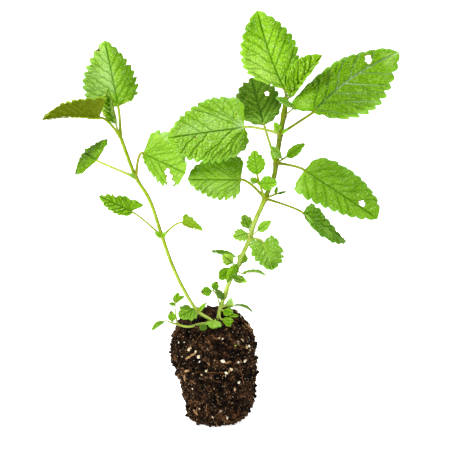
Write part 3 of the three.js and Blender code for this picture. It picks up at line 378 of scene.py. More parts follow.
FRONT_CHIP_SIDES, FRONT_CHIP_LIFT, FRONT_CHIP_TINT = 8, 0.7, (0.2, 0.9)
ROOT_COUNT, ROOT_LOW, ROOT_LENGTH, ROOT_RADIUS = 120, 0.1, (3, 11), (0.07, 0.15)
ROOT_STEPS, ROOT_SIDES, ROOT_WANDER, ROOT_LEAST_Z = 12, 5, 0.28, 0.4
ROOT_DROOP, ROOT_SIDE = np.array([0, 0, -0.4]), np.array([0.3, -0.9, 0.2])
ROOT_CENTRE = np.array([-1.5, 0, 0])  # the ball's axis, which the roots arch away from
ROOT_LIFT, ROOT_ARCH = 0.6, (0.7, 1.2)

# Perlite on the front of the ball: (x, z, radius, whiteness).
FRONT_GRAINS = [
    (-22, 52.5, 1.1, 1), (-18.5, 53.5, 0.7, 1), (-15, 50.5, 1.5, 0.4), (-11.5, 49.5, 1.2, 0.2),
    (-10, 47, 1.0, 0.4), (-9.5, 44, 0.7, 1), (3.5, 44.5, 1.6, 0.9), (-5.5, 38.5, 1.4, 0.4),
    (-1, 45, 0.6, -0.4), (2, 57.5, 1.0, 0.4), (4, 57, 0.8, 0.9), (15.5, 54.5, 1.5, -0.5),
    (18, 50, 1.3, -0.4), (19.5, 50, 1.0, 0.9), (20, 48, 1.0, 0.1), (13, 42.5, 1.3, 0.4),
    (17, 42.5, 1.3, 0.8), (9, 39, 1.4, -0.5), (6, 37, 1.2, 0.9), (5.5, 35, 0.8, 0.1),
    (13.5, 30, 1.1, 0.9), (11, 26, 1.0, 0.9), (-13.5, 36, 0.8, 0.3), (-8.5, 36, 1.2, -0.5),
    (-2, 8, 0.9, 0.9), (6.5, 7.5, 1.1, 0.9), (9.5, 17, 0.7, -0.7), (-20, 45, 0.6, 0.8),
    (-5, 52, 0.7, 0.7), (9, 50, 0.6, 0.6), (-1, 30, 0.6, 0.7), (-14, 25, 0.6, 0.4),
]
# A seedling on the front: (x, z), how far out it is, and its size.
SPROUT_PLACE, SPROUT_LIFT, SPROUT_SIZE = (11.5, 52.5), 0.8, np.array([0.35, 0.35, 0.9])
# Bark on the front of the ball: (x, z) to (x, z), half width.
FRONT_CHIPS = [
    (-17.5, 44, -11.5, 49, 0.7), (-18, 36, -15.5, 37.5, 0.8), (-13.5, 11, -10.5, 8, 0.8),
    (9, 39, 7, 36.5, 0.4), (11, 27.5, 11, 24.5, 0.5),
]
# Roots on the front of the ball: (x, z) to (x, z), lightness.
FRONT_ROOTS = [
    (-13, 57, -14.5, 52.5, 1), (6, 20.5, 9, 15.5, -0.5), (12.5, 18, 7, 6.5, -0.5),
    (-16, 17, -9.5, 12.5, -0.3), (-9, 15, -8.5, 9.5, -0.2), (2, 10.5, 2.5, 5, 0),
    (-4, 34, 4, 30, 0.6), (-12, 30, -15, 20, 0.2), (14, 38, 16, 28, 0.2),
]

# ---------------------------------------------------------------- colours

LEAF_SHINE, SHINE_TINT = 0.45, (0.9, 1.0, 0.2, 1.0)
LEAF_GLOSS = (0.22, 0.4)  # roughness, from the shiniest to the dullest spots
LEAF_GLOW, STALK_GLOW = 0.2, 0.12  # share of the light that shines through
STAIN_EDGE, STAIN_MIDDLE = "#8a7a20", "#33200f"
# How fine the grain and the painted glints are, in lumps to a metre, and how high the grain stands, in
# metres.
LEAF_MOTTLE, LEAF_FINE, LEAF_GLINTS, LEAF_GLINT_PATCHES, LEAF_PORES = 170, 1400, 950, 420, 800
STALK_RIBS, STALK_BLOTCHES, RIB_STRETCH = 1300, 260, (0.12, 1, 1)
LEAF_RELIEF, STALK_RELIEF = 0.0003, 0.0002
STALK_RED, STALK_REDNESS = "#8a4a2c", 0.35
STEM_PAINTED_SHADE, STEM_PAINTED_SHADE_SIDE = 1.1, (0.45, 0.85)  # painted shade: how much darker and more olive a stem is painted down its +X side, away from the key light

# A leaf's colours: the blade, the painted highlight on the tops of its quilting and the painted
# glints on them, the fine net, partly painted shade in its grooves, and the veins between them,
# its margin and its underside, and what shaded and bright patches turn to. Then how strong its
# painted glints are, and how much light it reflects.
Tone = namedtuple("Tone", "blade top glint net line rim under dark bright sparkle shine",
                  defaults=[LEAF_SHINE])
TONES = {
    "pale": Tone("#82b81c", "#a2d44c", "#e8fac8", "#5a9400", "#4c8800", "#7ebe3c", "#9cc038",
                 "#548600", "#cdeea0", 0.35),
    "bright": Tone("#82bc0c", "#a4d834", "#eafac8", "#5c9800", "#4e8e00", "#8ecc3c", "#9cc430",
                   "#528c00", "#d6f284", 0.45),
    "vivid": Tone("#6ca800", "#a0d020", "#eafab0", "#3e7400", "#346800", "#84c02c", "#88a808",
                  "#447400", "#cef064", 0.6, 0.3),
    "fresh": Tone("#689e00", "#8cbc14", "#dcf298", "#427a00", "#386e00", "#70b028", "#84a810",
                  "#447400", "#bce470", 0.3, 0.3),
    "ribbed": Tone("#609a00", "#7cb008", "#d8f09c", "#427c00", "#e2f6cc", "#70b028", "#84a810",
                   "#427200", "#b8e070", 0.35),
    "mid": Tone("#669e06", "#88bc2c", "#d8eeac", "#427c00", "#387400", "#70b43c", "#80a818",
                "#427600", "#b2de6c", 0.3),
    "mint": Tone("#74aa18", "#98ca44", "#eafacc", "#549010", "#b4d45c", "#6cb03c", "#84b030",
                 "#427a00", "#b8e488", 0.7),
    "deep": Tone("#447406", "#5c8c1a", "#98c070", "#305a08", "#2a5006", "#568c20", "#688a14",
                 "#2c4e04", "#8cc048", 0.1),
    "olive": Tone("#707f00", "#848e00", "#acb850", "#586600", "#4c5c00", "#84b020", "#5e7200",
                  "#4c5600", "#acc83c", 0.1, 0.15),
}

# ---------------------------------------------------------------- studio

CAMERA_LENS, CAMERA_SENSOR = 120, 36
CAMERA_DOWN = 12  # degrees below level
CAMERA_PLACE = (0.0054, -0.8803, 0.3091)
LIGHT_TARGET = Vector((0, 0, 0.13))
LIGHTS = [  # name, place, size, watts
    ("key_light", (-0.9, -1.0, 1.5), (0.4, 0.4), 38),
    ("fill_light", (1.4, -0.9, 0.9), (0.8, 1.2), 10),
    ("top_light", (0.1, 0.3, 1.6), (1.2, 0.8), 12),
]
WORLD_LIGHT = 0.2
FLOOR_GLOW = 0.85
SWEEP_WIDTH, SWEEP_FRONT, SWEEP_BACK, SWEEP_TOP = 7.0, -3.0, 2.0, 3.2
SWEEP_RADIUS, SWEEP_STEPS = 0.8, 24

# ---------------------------------------------------------------- curves and grids

def unit(vector):
    return vector / np.linalg.norm(vector)


def smooth(value, low, high):
    """0 below low, 1 above high and level at both."""
    t = np.clip((value - low) / (high - low), 0, 1)
    return t * t * (3 - 2 * t)


def distances_along(places):
    """How far along a line of places each of them lies."""
    return np.concatenate([[0], np.cumsum(np.linalg.norm(np.diff(places, axis=0), axis=1))])


def round_angles(count):
    """Angles that divide a full turn evenly."""
    return np.linspace(0, 2 * math.pi, count, endpoint=False)


def spline(points, step):
    """A centripetal Catmull-Rom curve through the points, about evenly spaced, and the index of
    each place along it, counted in points."""
    knots = [2 * points[0] - points[1], *points, 2 * points[-1] - points[-2]]
    places, indices = [], []
    for i in range(len(points) - 1):
        p0, p1, p2, p3 = knots[i:i + 4]
        d0, d1, d2 = (math.sqrt(np.linalg.norm(q - p)) for p, q in ((p0, p1), (p1, p2), (p2, p3)))
        m1 = d1 * ((p1 - p0) / d0 - (p2 - p0) / (d0 + d1) + (p2 - p1) / d1)
        m2 = d1 * ((p2 - p1) / d1 - (p3 - p1) / (d1 + d2) + (p3 - p2) / d2)
        count = max(2, round(np.linalg.norm(p2 - p1) / step))
        for k in range(count):
            t = k / count
            places.append((2 * t**3 - 3 * t**2 + 1) * p1 + (t**3 - 2 * t**2 + t) * m1
                          + (3 * t**2 - 2 * t**3) * p2 + (t**3 - t**2) * m2)
            indices.append(i + t)
    places.append(points[-1])
    indices.append(len(points) - 1)
    return np.array(places), np.array(indices)


def frames_along(places, side):
    """Two crosswise directions at each place of a line, carried along without twist."""
    tangents = np.gradient(places, axis=0)
    tangents /= np.linalg.norm(tangents, axis=1)[:, None]
    sides = []
    for tangent in tangents:
        side = unit(side - side.dot(tangent) * tangent)
        sides.append(side)
    sides = np.array(sides)
    return sides, np.cross(tangents, sides)


def grid_faces(rows, columns, closed=False):
    """The quads of a grid of points; closed joins its last column to its first."""
    r, c = np.mgrid[0:rows - 1, 0:columns if closed else columns - 1]
    after = (c + 1) % columns
    corners = (r * columns + c, r * columns + after, (r + 1) * columns + after, (r + 1) * columns + c)
    return np.stack(corners, -1).reshape(-1, 4)


def random_pairs(x, y, seed):
    """Two even random numbers for each whole x and y, always the same for the same seed."""
    first = np.modf(np.abs(np.sin(x * 12.9898 + y * 78.233 + seed * 37.719) * 43758.5453))[0]
    second = np.modf(np.abs(np.sin(x * 39.3461 + y * 11.135 + seed * 83.155) * 24634.6345))[0]
    return first, second


def cells(x, y, seed):
    """How far each place is from the border of its cell, in a jittered net of unit cells."""
    nearest = np.full(x.shape, FAR)
    second = np.full(x.shape, FAR)
    for dx in (-1, 0, 1):
        for dy in (-1, 0, 1):
            column, row = np.floor(x) + dx, np.floor(y) + dy
            jx, jy = random_pairs(column, row, seed)
            distance = np.hypot(column + 0.5 + CELL_JITTER * (jx - 0.5) - x,
                                row + 0.5 + CELL_JITTER * (jy - 0.5) - y)
            second = np.minimum(second, np.maximum(nearest, distance))
            nearest = np.minimum(nearest, distance)
    return second - nearest


# ---------------------------------------------------------------- meshes

# top is a painted highlight on a leaf's puffed tops, net partly painted shade in its grooves, and tint
# also carries painted light and shade on the peat and the stems
LAYERS = ("vein", "net", "top", "rim", "under", "tint", "stain", "red")


def link(name, data):
    """Puts an object with this data into the scene."""
    made = bpy.data.objects.new(name, data)
    bpy.context.scene.collection.objects.link(made)
    return made


def make_mesh(name, points, faces, materials):
    mesh = bpy.data.meshes.new(name)
    mesh.from_pydata(points, [], faces)
    for material in materials:
        mesh.materials.append(material)
    mesh.polygons.foreach_set("use_smooth", [True] * len(faces))
    return mesh


class Shape:
    """Points, faces, material numbers and values for each point, which become one piece."""

    def __init__(self):
        self.points, self.faces, self.slots, self.flat = [], [], [], []
        self.layers = {name: [] for name in LAYERS}
        self.count = 0

    def add(self, points, faces, slot=0, flat=None, **layers):
        """Adds a part. flat gives each point's place on the unrolled surface, in millimetres."""
        self.points.append(points)
        self.faces += [tuple(int(i) + self.count for i in face) for face in faces]
        self.slots += [slot] * len(faces)
        self.flat.append(points if flat is None else flat)
        for name in LAYERS:
            value = layers.get(name, 0.0)
            self.layers[name].append(np.broadcast_to(np.asarray(value, float), len(points)))
        self.count += len(points)

    def build(self, name, materials, nodes, slot):
        """Makes the piece, which stands for these CAD nodes, and lets it ride on the body."""
        points = np.concatenate(self.points) * MM
        mesh = make_mesh(name, points.tolist(), self.faces, materials)
        for label, values in self.layers.items():
            data = mesh.attributes.new(label, "FLOAT", "POINT").data
            data.foreach_set("value", np.concatenate(values).astype(np.float32))
        data = mesh.attributes.new("flat", "FLOAT_VECTOR", "POINT").data
        data.foreach_set("vector", (np.concatenate(self.flat) * MM).astype(np.float32).ravel())
        mesh.polygons.foreach_set("material_index", self.slots)
        mesh.update()
        piece = link(name, mesh)
        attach(piece, "root")
        if nodes:
            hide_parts(*nodes)


def tube(shape, places, radii, sides, side, slot=0, squareness=0.0, groove=0.0, **layers):
    """A closed tube along the places. squareness pushes its four corners out, and groove cuts a
    channel into the side that faces away from the side direction."""
    across, up = frames_along(places, side)
    angle = round_angles(sides)
    section = 1 - squareness * np.cos(4 * angle) - groove * np.exp(-((angle - math.pi) / 0.5) ** 2)
    radii = np.broadcast_to(np.asarray(radii, float), len(places))
    reach = radii[:, None] * section[None, :]
    rings = (places[:, None, :] + (reach * np.cos(angle))[..., None] * across[:, None, :]
             + (reach * np.sin(angle))[..., None] * up[:, None, :])
    flat = np.zeros(rings.shape)
    flat[..., 0] = distances_along(places)[:, None]
    flat[..., 1] = radii[:, None] * angle[None, :]
    wide = {}
    for name, value in layers.items():
        value = np.asarray(value, float)
        value = value if value.ndim == 2 else value.reshape(-1, 1)
        wide[name] = np.broadcast_to(value, reach.shape).ravel()
    faces = [tuple(reversed(face)) for face in grid_faces(len(places), sides, closed=True)]
    last = (len(places) - 1) * sides
    faces.append(tuple(range(sides)))
    faces.append(tuple(reversed(range(last, last + sides))))
    shape.add(rings.reshape(-1, 3), faces, slot, flat.reshape(-1, 3), **wide)


# ---------------------------------------------------------------- leaves

def outline(u, base, tip):
    """Half a blade's outline: how wide it is at a share u of its length, up to 1."""
    widest = base / (base + tip)
    return (u / widest) ** base * ((1 - u) / (1 - widest)) ** tip


def tooth_shape(u, teeth, sharp, side, seed):
    """1 at the crests of the teeth, 0 in the notches; the base and the tip have none."""
    count = u * teeth
    part = count - np.floor(count)
    climb = np.where(part < TOOTH_CREST, part / TOOTH_CREST, (1 - part) / (1 - TOOTH_CREST))
    climb = np.clip(climb, 0, 1)
    shape = (1 - sharp) * np.sin(0.5 * math.pi * climb) ** TOOTH_ROUNDNESS + sharp * climb**0.9
    uneven = random_pairs(np.round(count), side, seed)[0]
    whole = (count < TOOTH_CREST) | (count > teeth - 1 + TOOTH_CREST)
    return np.where(whole, 1, 1 - (1 - shape) * (TOOTH_DEPTHS[0] + TOOTH_DEPTHS[1] * uneven))


def basal_notches(u, wide, crest, first, count):
    """The teeth that go on round a blade's blunt base, before its first crest: 1 in their
    notches, 0 elsewhere."""
    place = count * (1 - wide / crest)
    notch = 1 - np.abs(np.cos(math.pi * place)) ** TOOTH_ROUNDNESS
    return np.where((u < first) & (place < count - 0.4), notch, 0)


def vein_distance(a, b, length, width, seed, fan):
    """How far each place of a flat blade is from its nearest side vein, in millimetres. The
    side veins wander a little, and each sends out branches on its way to the margin. With a fan
    of 1, the lower ones all spread from the base of the blade."""
    broad, short = VEIN_SWAY
    sway = min(1, width / FULL_WIDTH)
    a = a + sway * (broad * np.sin(0.45 * b + 0.2 * a + seed)
                    + short * np.sin(1.2 * b + 0.9 * a + 2 * seed))
    count = max(3, round(VEIN_END * length / max(VEIN_SPACING * length, VEIN_LEAST)))
    nearest = np.full(a.shape, FAR)
    for side in (-1, 1):
        reach = side * b
        for i in range(count):
            jitter = random_pairs(i, side, seed)[0] - 0.5
            share = max(0.01, (i + VEIN_STAGGER * (side > 0) + VEIN_JITTER * jitter) / count)
            origin = VEIN_END * share**1.15 * length
            slope = VEIN_SLOPE[0] + (VEIN_SLOPE[1] - VEIN_SLOPE[0]) * share**0.6
            gathered = fan * (1 - smooth(share, *FAN_END))
            slope += gathered * origin / (FAN_REACH * width)
            origin *= 1 - gathered
            line = origin + slope * reach + VEIN_BEND * reach * np.abs(reach)
            distance = np.abs(a - line) / math.hypot(1, slope + 0.2)
            for k, (place, turn) in enumerate(zip(VEIN_FORKS, FORK_TURN)):
                shift = random_pairs(i, side + k, seed)[1] - 0.5
                fork = place * (1 + FORK_JITTER * shift) * width / 2
                turned = slope + 2 * VEIN_BEND * fork - turn
                knot = origin + slope * fork + VEIN_BEND * fork**2
                branch = knot + turned * (reach - fork) + FORK_BEND * (reach - fork) ** 2
                away = FORK_FAINTNESS + np.abs(a - branch) / math.hypot(1, turned)
                distance = np.minimum(distance, np.where(reach > fork, away, FAR))
            nearest = np.where(reach >= 0, np.minimum(nearest, distance), nearest)
    return nearest


def stalk_line(leaf, start):
    """A stalk's middle line: a quadratic curve from its stem that arrives along the blade."""
    base, tip = np.array(leaf["base"], float), np.array(leaf["tip"], float)
    control = base - unit(tip - base) * STALK_CURVE * np.linalg.norm(base - start)
    t = np.linspace(0, 1, STALK_STEPS)[:, None]
    return (1 - t) ** 2 * start + 2 * t * (1 - t) * control + t * t * base


def blade_rows(teeth, length):
    """The shares of the length where a blade's rows lie, closer together at its blunt base."""
    each = max(7, round(length / teeth / MESH_STEP))
    first = TOOTH_CREST / teeth
    start = first * np.linspace(0, 1, each + 2)[:-1] ** 2
    return np.concatenate([start, np.linspace(first, 1, round(each * (teeth - TOOTH_CREST)))])


class Blade:
    """A blade as a grid of places: u runs along its midrib from 0 to 1, and v from the margin
    of its first half (-1) over the midrib to the margin of its second half (1). a and b are the
    places on the flat blade in millimetres, and middle those in space."""

    def __init__(self, leaf, seed):
        self.leaf = {**PLAIN_LEAF, **leaf}
        self.seed = seed
        self.width, self.teeth = leaf["width"], leaf["teeth"]
        self.base, tip = np.array(leaf["base"], float), np.array(leaf["tip"], float)
        self.length = np.linalg.norm(tip - self.base)
        self.along = (tip - self.base) / self.length
        up = np.array(leaf["face"], float)
        self.up = unit(up - up.dot(self.along) * self.along)
        self.across = np.cross(self.up, self.along)
        least, more, most = STALK_RADIUS
        self.stalk_radius = min(least + more * self.width, most) * self.leaf["thick"]
        self.size = min(1, (self.width / FULL_WIDTH) ** 0.6)
        self.columns = 2 * max(5, round(self.width / 2 / MESH_STEP)) + 1
        self.v, self.u = np.meshgrid(np.linspace(-1, 1, self.columns),
                                     blade_rows(self.teeth, self.length))
        self.inner = smooth(self.u, 0, BASE_FADE) * smooth(1 - self.u, 0, TIP_FADE)
        self.inside = smooth(1 - np.abs(self.v), 0, MARGIN_FADE) * self.inner
        self.lay_flat()
        self.fold_up()

    def of_half(self, key):
        """The leaf's own value for the half that each place lies in."""
        return np.array(self.leaf[key])[np.where(self.v > 0, 1, 0)]

    def lay_flat(self):
        """Sets a and b from the outline, its teeth, its tip and the lobes at its base."""
        u, v, teeth, width, length = self.u, self.v, self.teeth, self.width, self.length
        sharp = self.of_half("sharp")
        tooth = tooth_shape(u, teeth, sharp, np.where(v > 0, 1, 0), self.seed)
        base, tip = np.moveaxis(self.of_half("shapes"), -1, 0)
        last = (teeth - 1 + TIP_START) / teeth
        closing = (u - last) / (1 - last)
        end_lobe = np.clip(1 - np.maximum(closing, 0) ** TIP_SHAPE[0], 0, 1) ** TIP_SHAPE[1]
        wide = outline(np.minimum(u, last), base, tip) * end_lobe
        cut = SCALLOP * self.of_half("notches") * self.leaf["cut"] * width
        half = (width / 2 * wide - cut * np.sqrt(wide) * (1 - tooth)) * self.of_half("sides")
        half = np.maximum(half, self.stalk_radius * (1 - u) + TIP_HALF_WIDTH * u)
        self.reach = np.abs(v) * half

        first = TOOTH_CREST / teeth
        crest = outline(first, base, tip)
        basal = basal_notches(u, wide, crest, first, np.round(crest * width / 2 / (length / teeth)))
        lobe = self.of_half("lobes") * np.minimum(1, wide / crest)
        swept = (VEIN_SWEEP * self.reach * (1 - u)
                 - lobe * length * np.abs(v) ** LOBE_ROUNDNESS * (1 - u) ** LOBE_FALLOFF
                 + (CREST_LEAN + 0.3 * sharp) * length / teeth * np.abs(v) ** 3 * tooth * self.inner
                 + cut * basal * np.abs(v) ** 1.5)
        self.a, self.b = u * length + swept, v * half

    def fold_up(self):
        """Sets the places in space and the way up from each, as the solid has them, without
        relief: folded, arched, bent, curled and waved."""
        u, v, leaf = self.u, self.v, self.leaf
        lean = math.radians(leaf["fold"])
        rounded = np.sqrt(self.reach**2 + FOLD_ROUND**2) - FOLD_ROUND
        bow = 4 * u * (1 - u) * self.length
        phase = RIPPLE_PER_TOOTH * self.teeth * u + RIPPLE_ACROSS * v
        height = (rounded * math.sin(lean) + leaf["arch"] * bow
                  - leaf["curl"] * self.reach**2 / (self.width / 2)
                  + leaf["wave"] * v**2 * np.sin(phase) * self.inner)
        self.middle = (self.base + self.a[..., None] * self.along
                       + (self.b * math.cos(lean) + leaf["bend"] * bow)[..., None] * self.across
                       + height[..., None] * self.up)
        normal = np.cross(np.gradient(self.middle, axis=0), np.gradient(self.middle, axis=1))
        normal += 1e-6 * self.up
        self.normal = normal / np.linalg.norm(normal, axis=2)[..., None]

    def quilt(self):
        """The height of the relief at each place, grooves along the veins and quilting between
        them, and the layers of colour that follow it: a painted highlight on the puffed tops, and a
        net whose dark lines are partly fine veins, partly painted shade in the grooves."""
        u, v, a, b, leaf, size, seed = self.u, self.v, self.a, self.b, self.leaf, self.size, self.seed
        vein = vein_distance(a, b, self.length, self.width, seed, leaf["fan"])
        rib = np.abs(b)
        warp = 0.35 * np.sin(0.9 * a + 0.6 * b + seed)
        big = cells(a / (CELL * size) + warp, b / (CELL * size) - warp, seed)
        small = cells(a / (SMALL_CELL * size) + warp, b / (SMALL_CELL * size), seed + 1)
        dome = 1 - np.exp(-(np.minimum(vein, rib) / (QUILT_EDGE * size)) ** 2)
        puff = smooth(big, 0, 0.55)
        relief = leaf["crumple"] * size * self.inside * (
            QUILT * dome + CELL_HEIGHT * puff * dome + SMALL_CELL_HEIGHT * smooth(small, 0, 0.5))
        relief -= size * (GROOVE * np.exp(-(vein / VEIN_WIDTH) ** 2) * self.inside
                          + MIDRIB_GROOVE * np.exp(-(rib / MIDRIB_GROOVE_WIDTH) ** 2) * self.inner)
        relief -= 0.5 * QUILT * size
        wave = 2 * math.pi / (BUCKLE_LENGTH * size)
        relief += (BUCKLE * size * self.inner * np.abs(v) * np.sin(wave * a + seed)
                   * np.cos(0.8 * wave * b + 1.7 * seed))

        ink = leaf["ink"] * min(1, 0.35 + self.width / 24)
        side_veins = (np.exp(-(vein / (VEIN_WIDTH * leaf["veins"])) ** 2) * (1 - 0.4 * np.abs(v))
                      * self.inside)
        plain, wider, thicker = MIDRIB_WIDTH
        midrib = np.exp(-(rib / (plain + wider * leaf["veins"] + thicker * (1 - u))) ** 2)
        shown = 1 - leaf["plain_base"] * (1 - smooth(u, 0.2, 0.4))
        # the net's dark lines follow the grooves between the puffs: partly fine veins, partly painted
        # shade
        net = np.maximum(np.exp(-(big / NET_WIDTH) ** 2),
                         FINE_NET * np.exp(-(small / FINE_NET_WIDTH) ** 2))
        return relief, dict(
            vein=shown * np.maximum(ink * side_veins, 0.5 * (1 + ink) * midrib),
            net=ink * net * self.inside,
            # a painted highlight on the puffed tops
            top=0.5 * (1 - ink) + ink * dome * (0.35 + 0.65 * puff) * self.inside,
            rim=1 - smooth(1 - np.abs(v), 0, RIM_WIDTH))

    def away(self, a, b, place):
        """How far and in which direction these flat places lie from one of the leaf's own."""
        da, db = a - place[0] * self.length, b - place[1] * self.width / 2
        return np.hypot(da, db), np.arctan2(db, da)

    def shade(self):
        """The tint of each place, from the leaf's own and its patches."""
        tint = np.full(self.u.shape, float(self.leaf["tint"]))
        for u, v, length, width, amount in self.leaf["patches"]:
            tint += amount * np.exp(-((self.u - u) / length) ** 2 - ((self.v - v) / width) ** 2)
        return tint

    def wound(self):
        """How brown each place is, and the faces that the holes and bites leave."""
        stain = np.zeros(self.u.shape)
        for *place, radius, amount in self.leaf["stains"]:
            far, turn = self.away(self.a, self.b, place)
            stain += amount * np.exp(-(far * (1 + 0.3 * np.sin(3 * turn)) / radius) ** 4)
        faces = grid_faces(*self.u.shape)
        centres = [flat.reshape(-1)[faces].mean(axis=1) for flat in (self.a, self.b)]
        keep = np.full(len(faces), True)

        def beyond(a, b, place, radius):
            """How far these places are outside of a ragged hole."""
            far, turn = self.away(a, b, place)
            ragged = 1 + sum(height * np.sin(waves * turn + (i + 1) * self.seed)
                             for i, (waves, height) in enumerate(WOUND_RAGGED))
            return far - radius * ragged

        for *place, radius in [*self.leaf["bites"], *self.leaf["holes"]]:
            keep &= beyond(*centres, place, radius) > 0
            edge = np.maximum(beyond(self.a, self.b, place, radius), 0)
            stain += WOUND_BROWN * np.exp(-(edge / WOUND_EDGE) ** 2)
        return np.clip(stain, 0, 1), faces[keep]


def add_leaf(shape, leaf, start, seed, slots=(0, 1)):
    """Adds a leaf to a shape: a thin crinkled blade with its midrib, and a stalk unless it
    starts at no stem. slots are the material numbers of the blade and the stalk."""
    blade = Blade(leaf, seed)
    relief, layers = blade.quilt()
    stain, faces = blade.wound()
    layers.update(tint=blade.shade(), stain=stain)
    points = blade.middle + relief[..., None] * blade.normal
    above = (points + 0.5 * BLADE_THICKNESS * blade.normal).reshape(-1, 3)
    below = (points - 0.5 * BLADE_THICKNESS * blade.normal).reshape(-1, 3)
    count = len(above)
    edges = np.concatenate([faces[:, [i, (i + 1) % 4]] for i in range(4)])
    keys = edges.min(axis=1) * count + edges.max(axis=1)
    _, where, uses = np.unique(keys, return_index=True, return_counts=True)
    border = edges[where[uses == 1]]
    walls = np.stack([border[:, 1], border[:, 0], border[:, 0] + count, border[:, 1] + count], -1)
    every = np.concatenate([faces, faces[:, ::-1] + count, walls])
    flat = np.stack([blade.a, blade.b, np.full(relief.shape, FLAT_SHIFT * seed)], -1).reshape(-1, 3)
    shape.add(np.concatenate([above, below]), every.tolist(), slots[0], np.tile(flat, (2, 1)),
              under=np.repeat([0.0, 1.0], count),
              **{name: np.tile(values.ravel(), 2) for name, values in layers.items()})
    add_stalk(shape, blade, points, start, slots[1])


def add_stalk(shape, blade, points, start, slot):
    """Adds a leaf's stalk, which runs on under these points of its blade as its midrib."""
    rows = np.arange(2, int(np.searchsorted(blade.u[:, 0], MIDRIB_END)), 3)
    share = blade.u[rows, 0]
    middle = blade.columns // 2
    sink = (MIDRIB_SINK[0] + MIDRIB_SINK[1] * smooth(share, 0, 0.15))[:, None]
    line = points[rows, middle] - sink * blade.normal[rows, middle]
    radii = blade.stalk_radius + (MIDRIB_RADIUS - blade.stalk_radius) * share**0.7
    radii *= np.minimum(1, 0.8 * blade.size + 0.3)
    if start is not None:
        stalk = stalk_line(blade.leaf, start)[:-1]
        line = np.concatenate([stalk, line])
        radii = np.concatenate([np.full(len(stalk), blade.stalk_radius), radii])
        radii[:len(STALK_SWELLING)] *= np.array(STALK_SWELLING)
    red = blade.leaf["red"] * np.linspace(1, 0.3, len(line))
    tube(shape, line, radii, STALK_SIDES, -blade.up, slot, groove=STALK_GROOVE,
         tint=np.full(len(line), blade.leaf["stalk"]), red=red)


# ---------------------------------------------------------------- stems

def stem_line(key):
    """A stem's middle line, and how far along it each place and each named point lies."""
    points = STEMS[key]["points"]
    places, indices = spline([np.array(p, float) for p in points.values()], STEM_STEP)
    travelled = distances_along(places)
    named = {name: float(np.interp(i, indices, travelled)) for i, name in enumerate(points)}
    return places, travelled, named


def add_stem(shape, key):
    """Adds a stem: square with rounded corners, swollen where leaves leave it, and painted darker and
    more olive down its +X side as painted shade.
    """
    stem = STEMS[key]
    places, travelled, named = stem_line(key)
    share = travelled / travelled[-1]
    foot, crown = stem["radius"]
    radii = foot + (crown - foot) * share
    for name in stem["nodes"]:
        radii *= 1 + NODE_SWELLING * np.exp(-((travelled - named[name]) / NODE_LENGTH) ** 2)
    across, up = frames_along(places, STEM_SIDE)
    angle = round_angles(STEM_SIDES)
    facing = across[:, :1] * np.cos(angle) + up[:, :1] * np.sin(angle)
    # painted shade: faces that turn towards +X are painted darker and more olive
    tint = np.interp(share, *stem["tints"])[:, None] - STEM_PAINTED_SHADE * smooth(facing, *STEM_PAINTED_SHADE_SIDE)
    red = sum(NODE_RED * np.exp(-((travelled - named[name]) / NODE_RED_LENGTH) ** 2)
              for name in stem["nodes"])
    tube(shape, places, radii, STEM_SIDES, STEM_SIDE, 0, STEM_SQUARENESS,
         tint=tint, red=np.minimum(red, 1))


def stem_tint(key, node):
    """How light or olive a stem is at one of its named points."""
    _, travelled, named = stem_line(key)
    return float(np.interp(named[node] / travelled[-1], *STEMS[key]["tints"]))


# ---------------------------------------------------------------- root ball

def ramp(place, low, high, size):
    return size * smooth(place, low, high)


def crumb_waves(x, y, z):
    """The solid's own lumps: a smooth sum of waves, between -1 and 1."""
    return (0.4 * np.sin(0.9 * x + 2 * np.sin(0.31 * z)) * np.sin(0.8 * y + 1.1)
            + 0.35 * np.sin(1.3 * y + 0.7 * z) * np.sin(1.1 * x - 0.9 * z + 2)
            + 0.25 * np.sin(1.9 * z + 0.8 * x + 1.7 * np.sin(0.7 * y)))


def rough(points, scale, seed):
    """Smooth noise at each point, between about -1 and 1, with lumps of this size."""
    shift = Vector((seed * 17.3, seed * 5.1, seed * 9.7))
    return np.array([noise.noise(Vector(p) / scale + shift) for p in points.tolist()])


def packed(points, scale, seed):
    """Rounded crumbs packed side by side: 0.5 at their middles, less in the gaps."""
    shift = Vector((seed * 7.9, seed * 3.3, seed * 11.1))
    return np.array([0.5 - noise.voronoi(Vector(p) / scale + shift)[0][0] for p in points.tolist()])


def ball_point(share, angle):
    """A place on the bare ball's surface, at a share of the way up its profile, from the middle
    of its base to the middle of its top."""
    steps = distances_along(BALL_PROFILE)
    radius, z = (np.interp(share * steps[-1], steps, values) for values in BALL_PROFILE.T)
    x, y = radius * np.cos(angle), radius * np.sin(angle)
    relief = BALL_LUMPS * crumb_waves(x, y, z) * (z > 0)
    stretch = 1 + relief / np.maximum(radius, BALL_FLAT)
    drift = ramp(z, *BALL_BULGE) + ramp(z, *BALL_LEAN)
    lift = ramp(z, *BALL_SHOULDER) * (relief + ramp(y, *SOIL_BANK))
    return np.stack([x * stretch + drift, y * stretch, z + lift], -1)


def on_front(x, z):
    """The place on the front of the ball with this x and z, and the way out of it there."""
    steps = distances_along(BALL_PROFILE)
    share = np.interp(z, BALL_PROFILE[BALL_SIDE, 1], steps[BALL_SIDE] / steps[-1])
    angles = np.linspace(-math.pi, 0, 181)
    places = ball_point(np.full(angles.shape, share), angles)
    place = places[int(np.argmin(np.abs(places[:, 0] - x)))]
    return place, unit(place - BALL_MIDDLE)


def keep_above(points, height):
    """Lifts the points that lie below this height up to it."""
    points[:, 2] = np.maximum(points[:, 2], height)


def lump(level):
    """A unit ball of triangles: its points and faces."""
    work = bmesh.new()
    bmesh.ops.create_icosphere(work, subdivisions=level, radius=1)
    points = np.array([tuple(vert.co) for vert in work.verts])
    faces = [tuple(vert.index for vert in face.verts) for face in work.faces]
    work.free()
    return points, faces


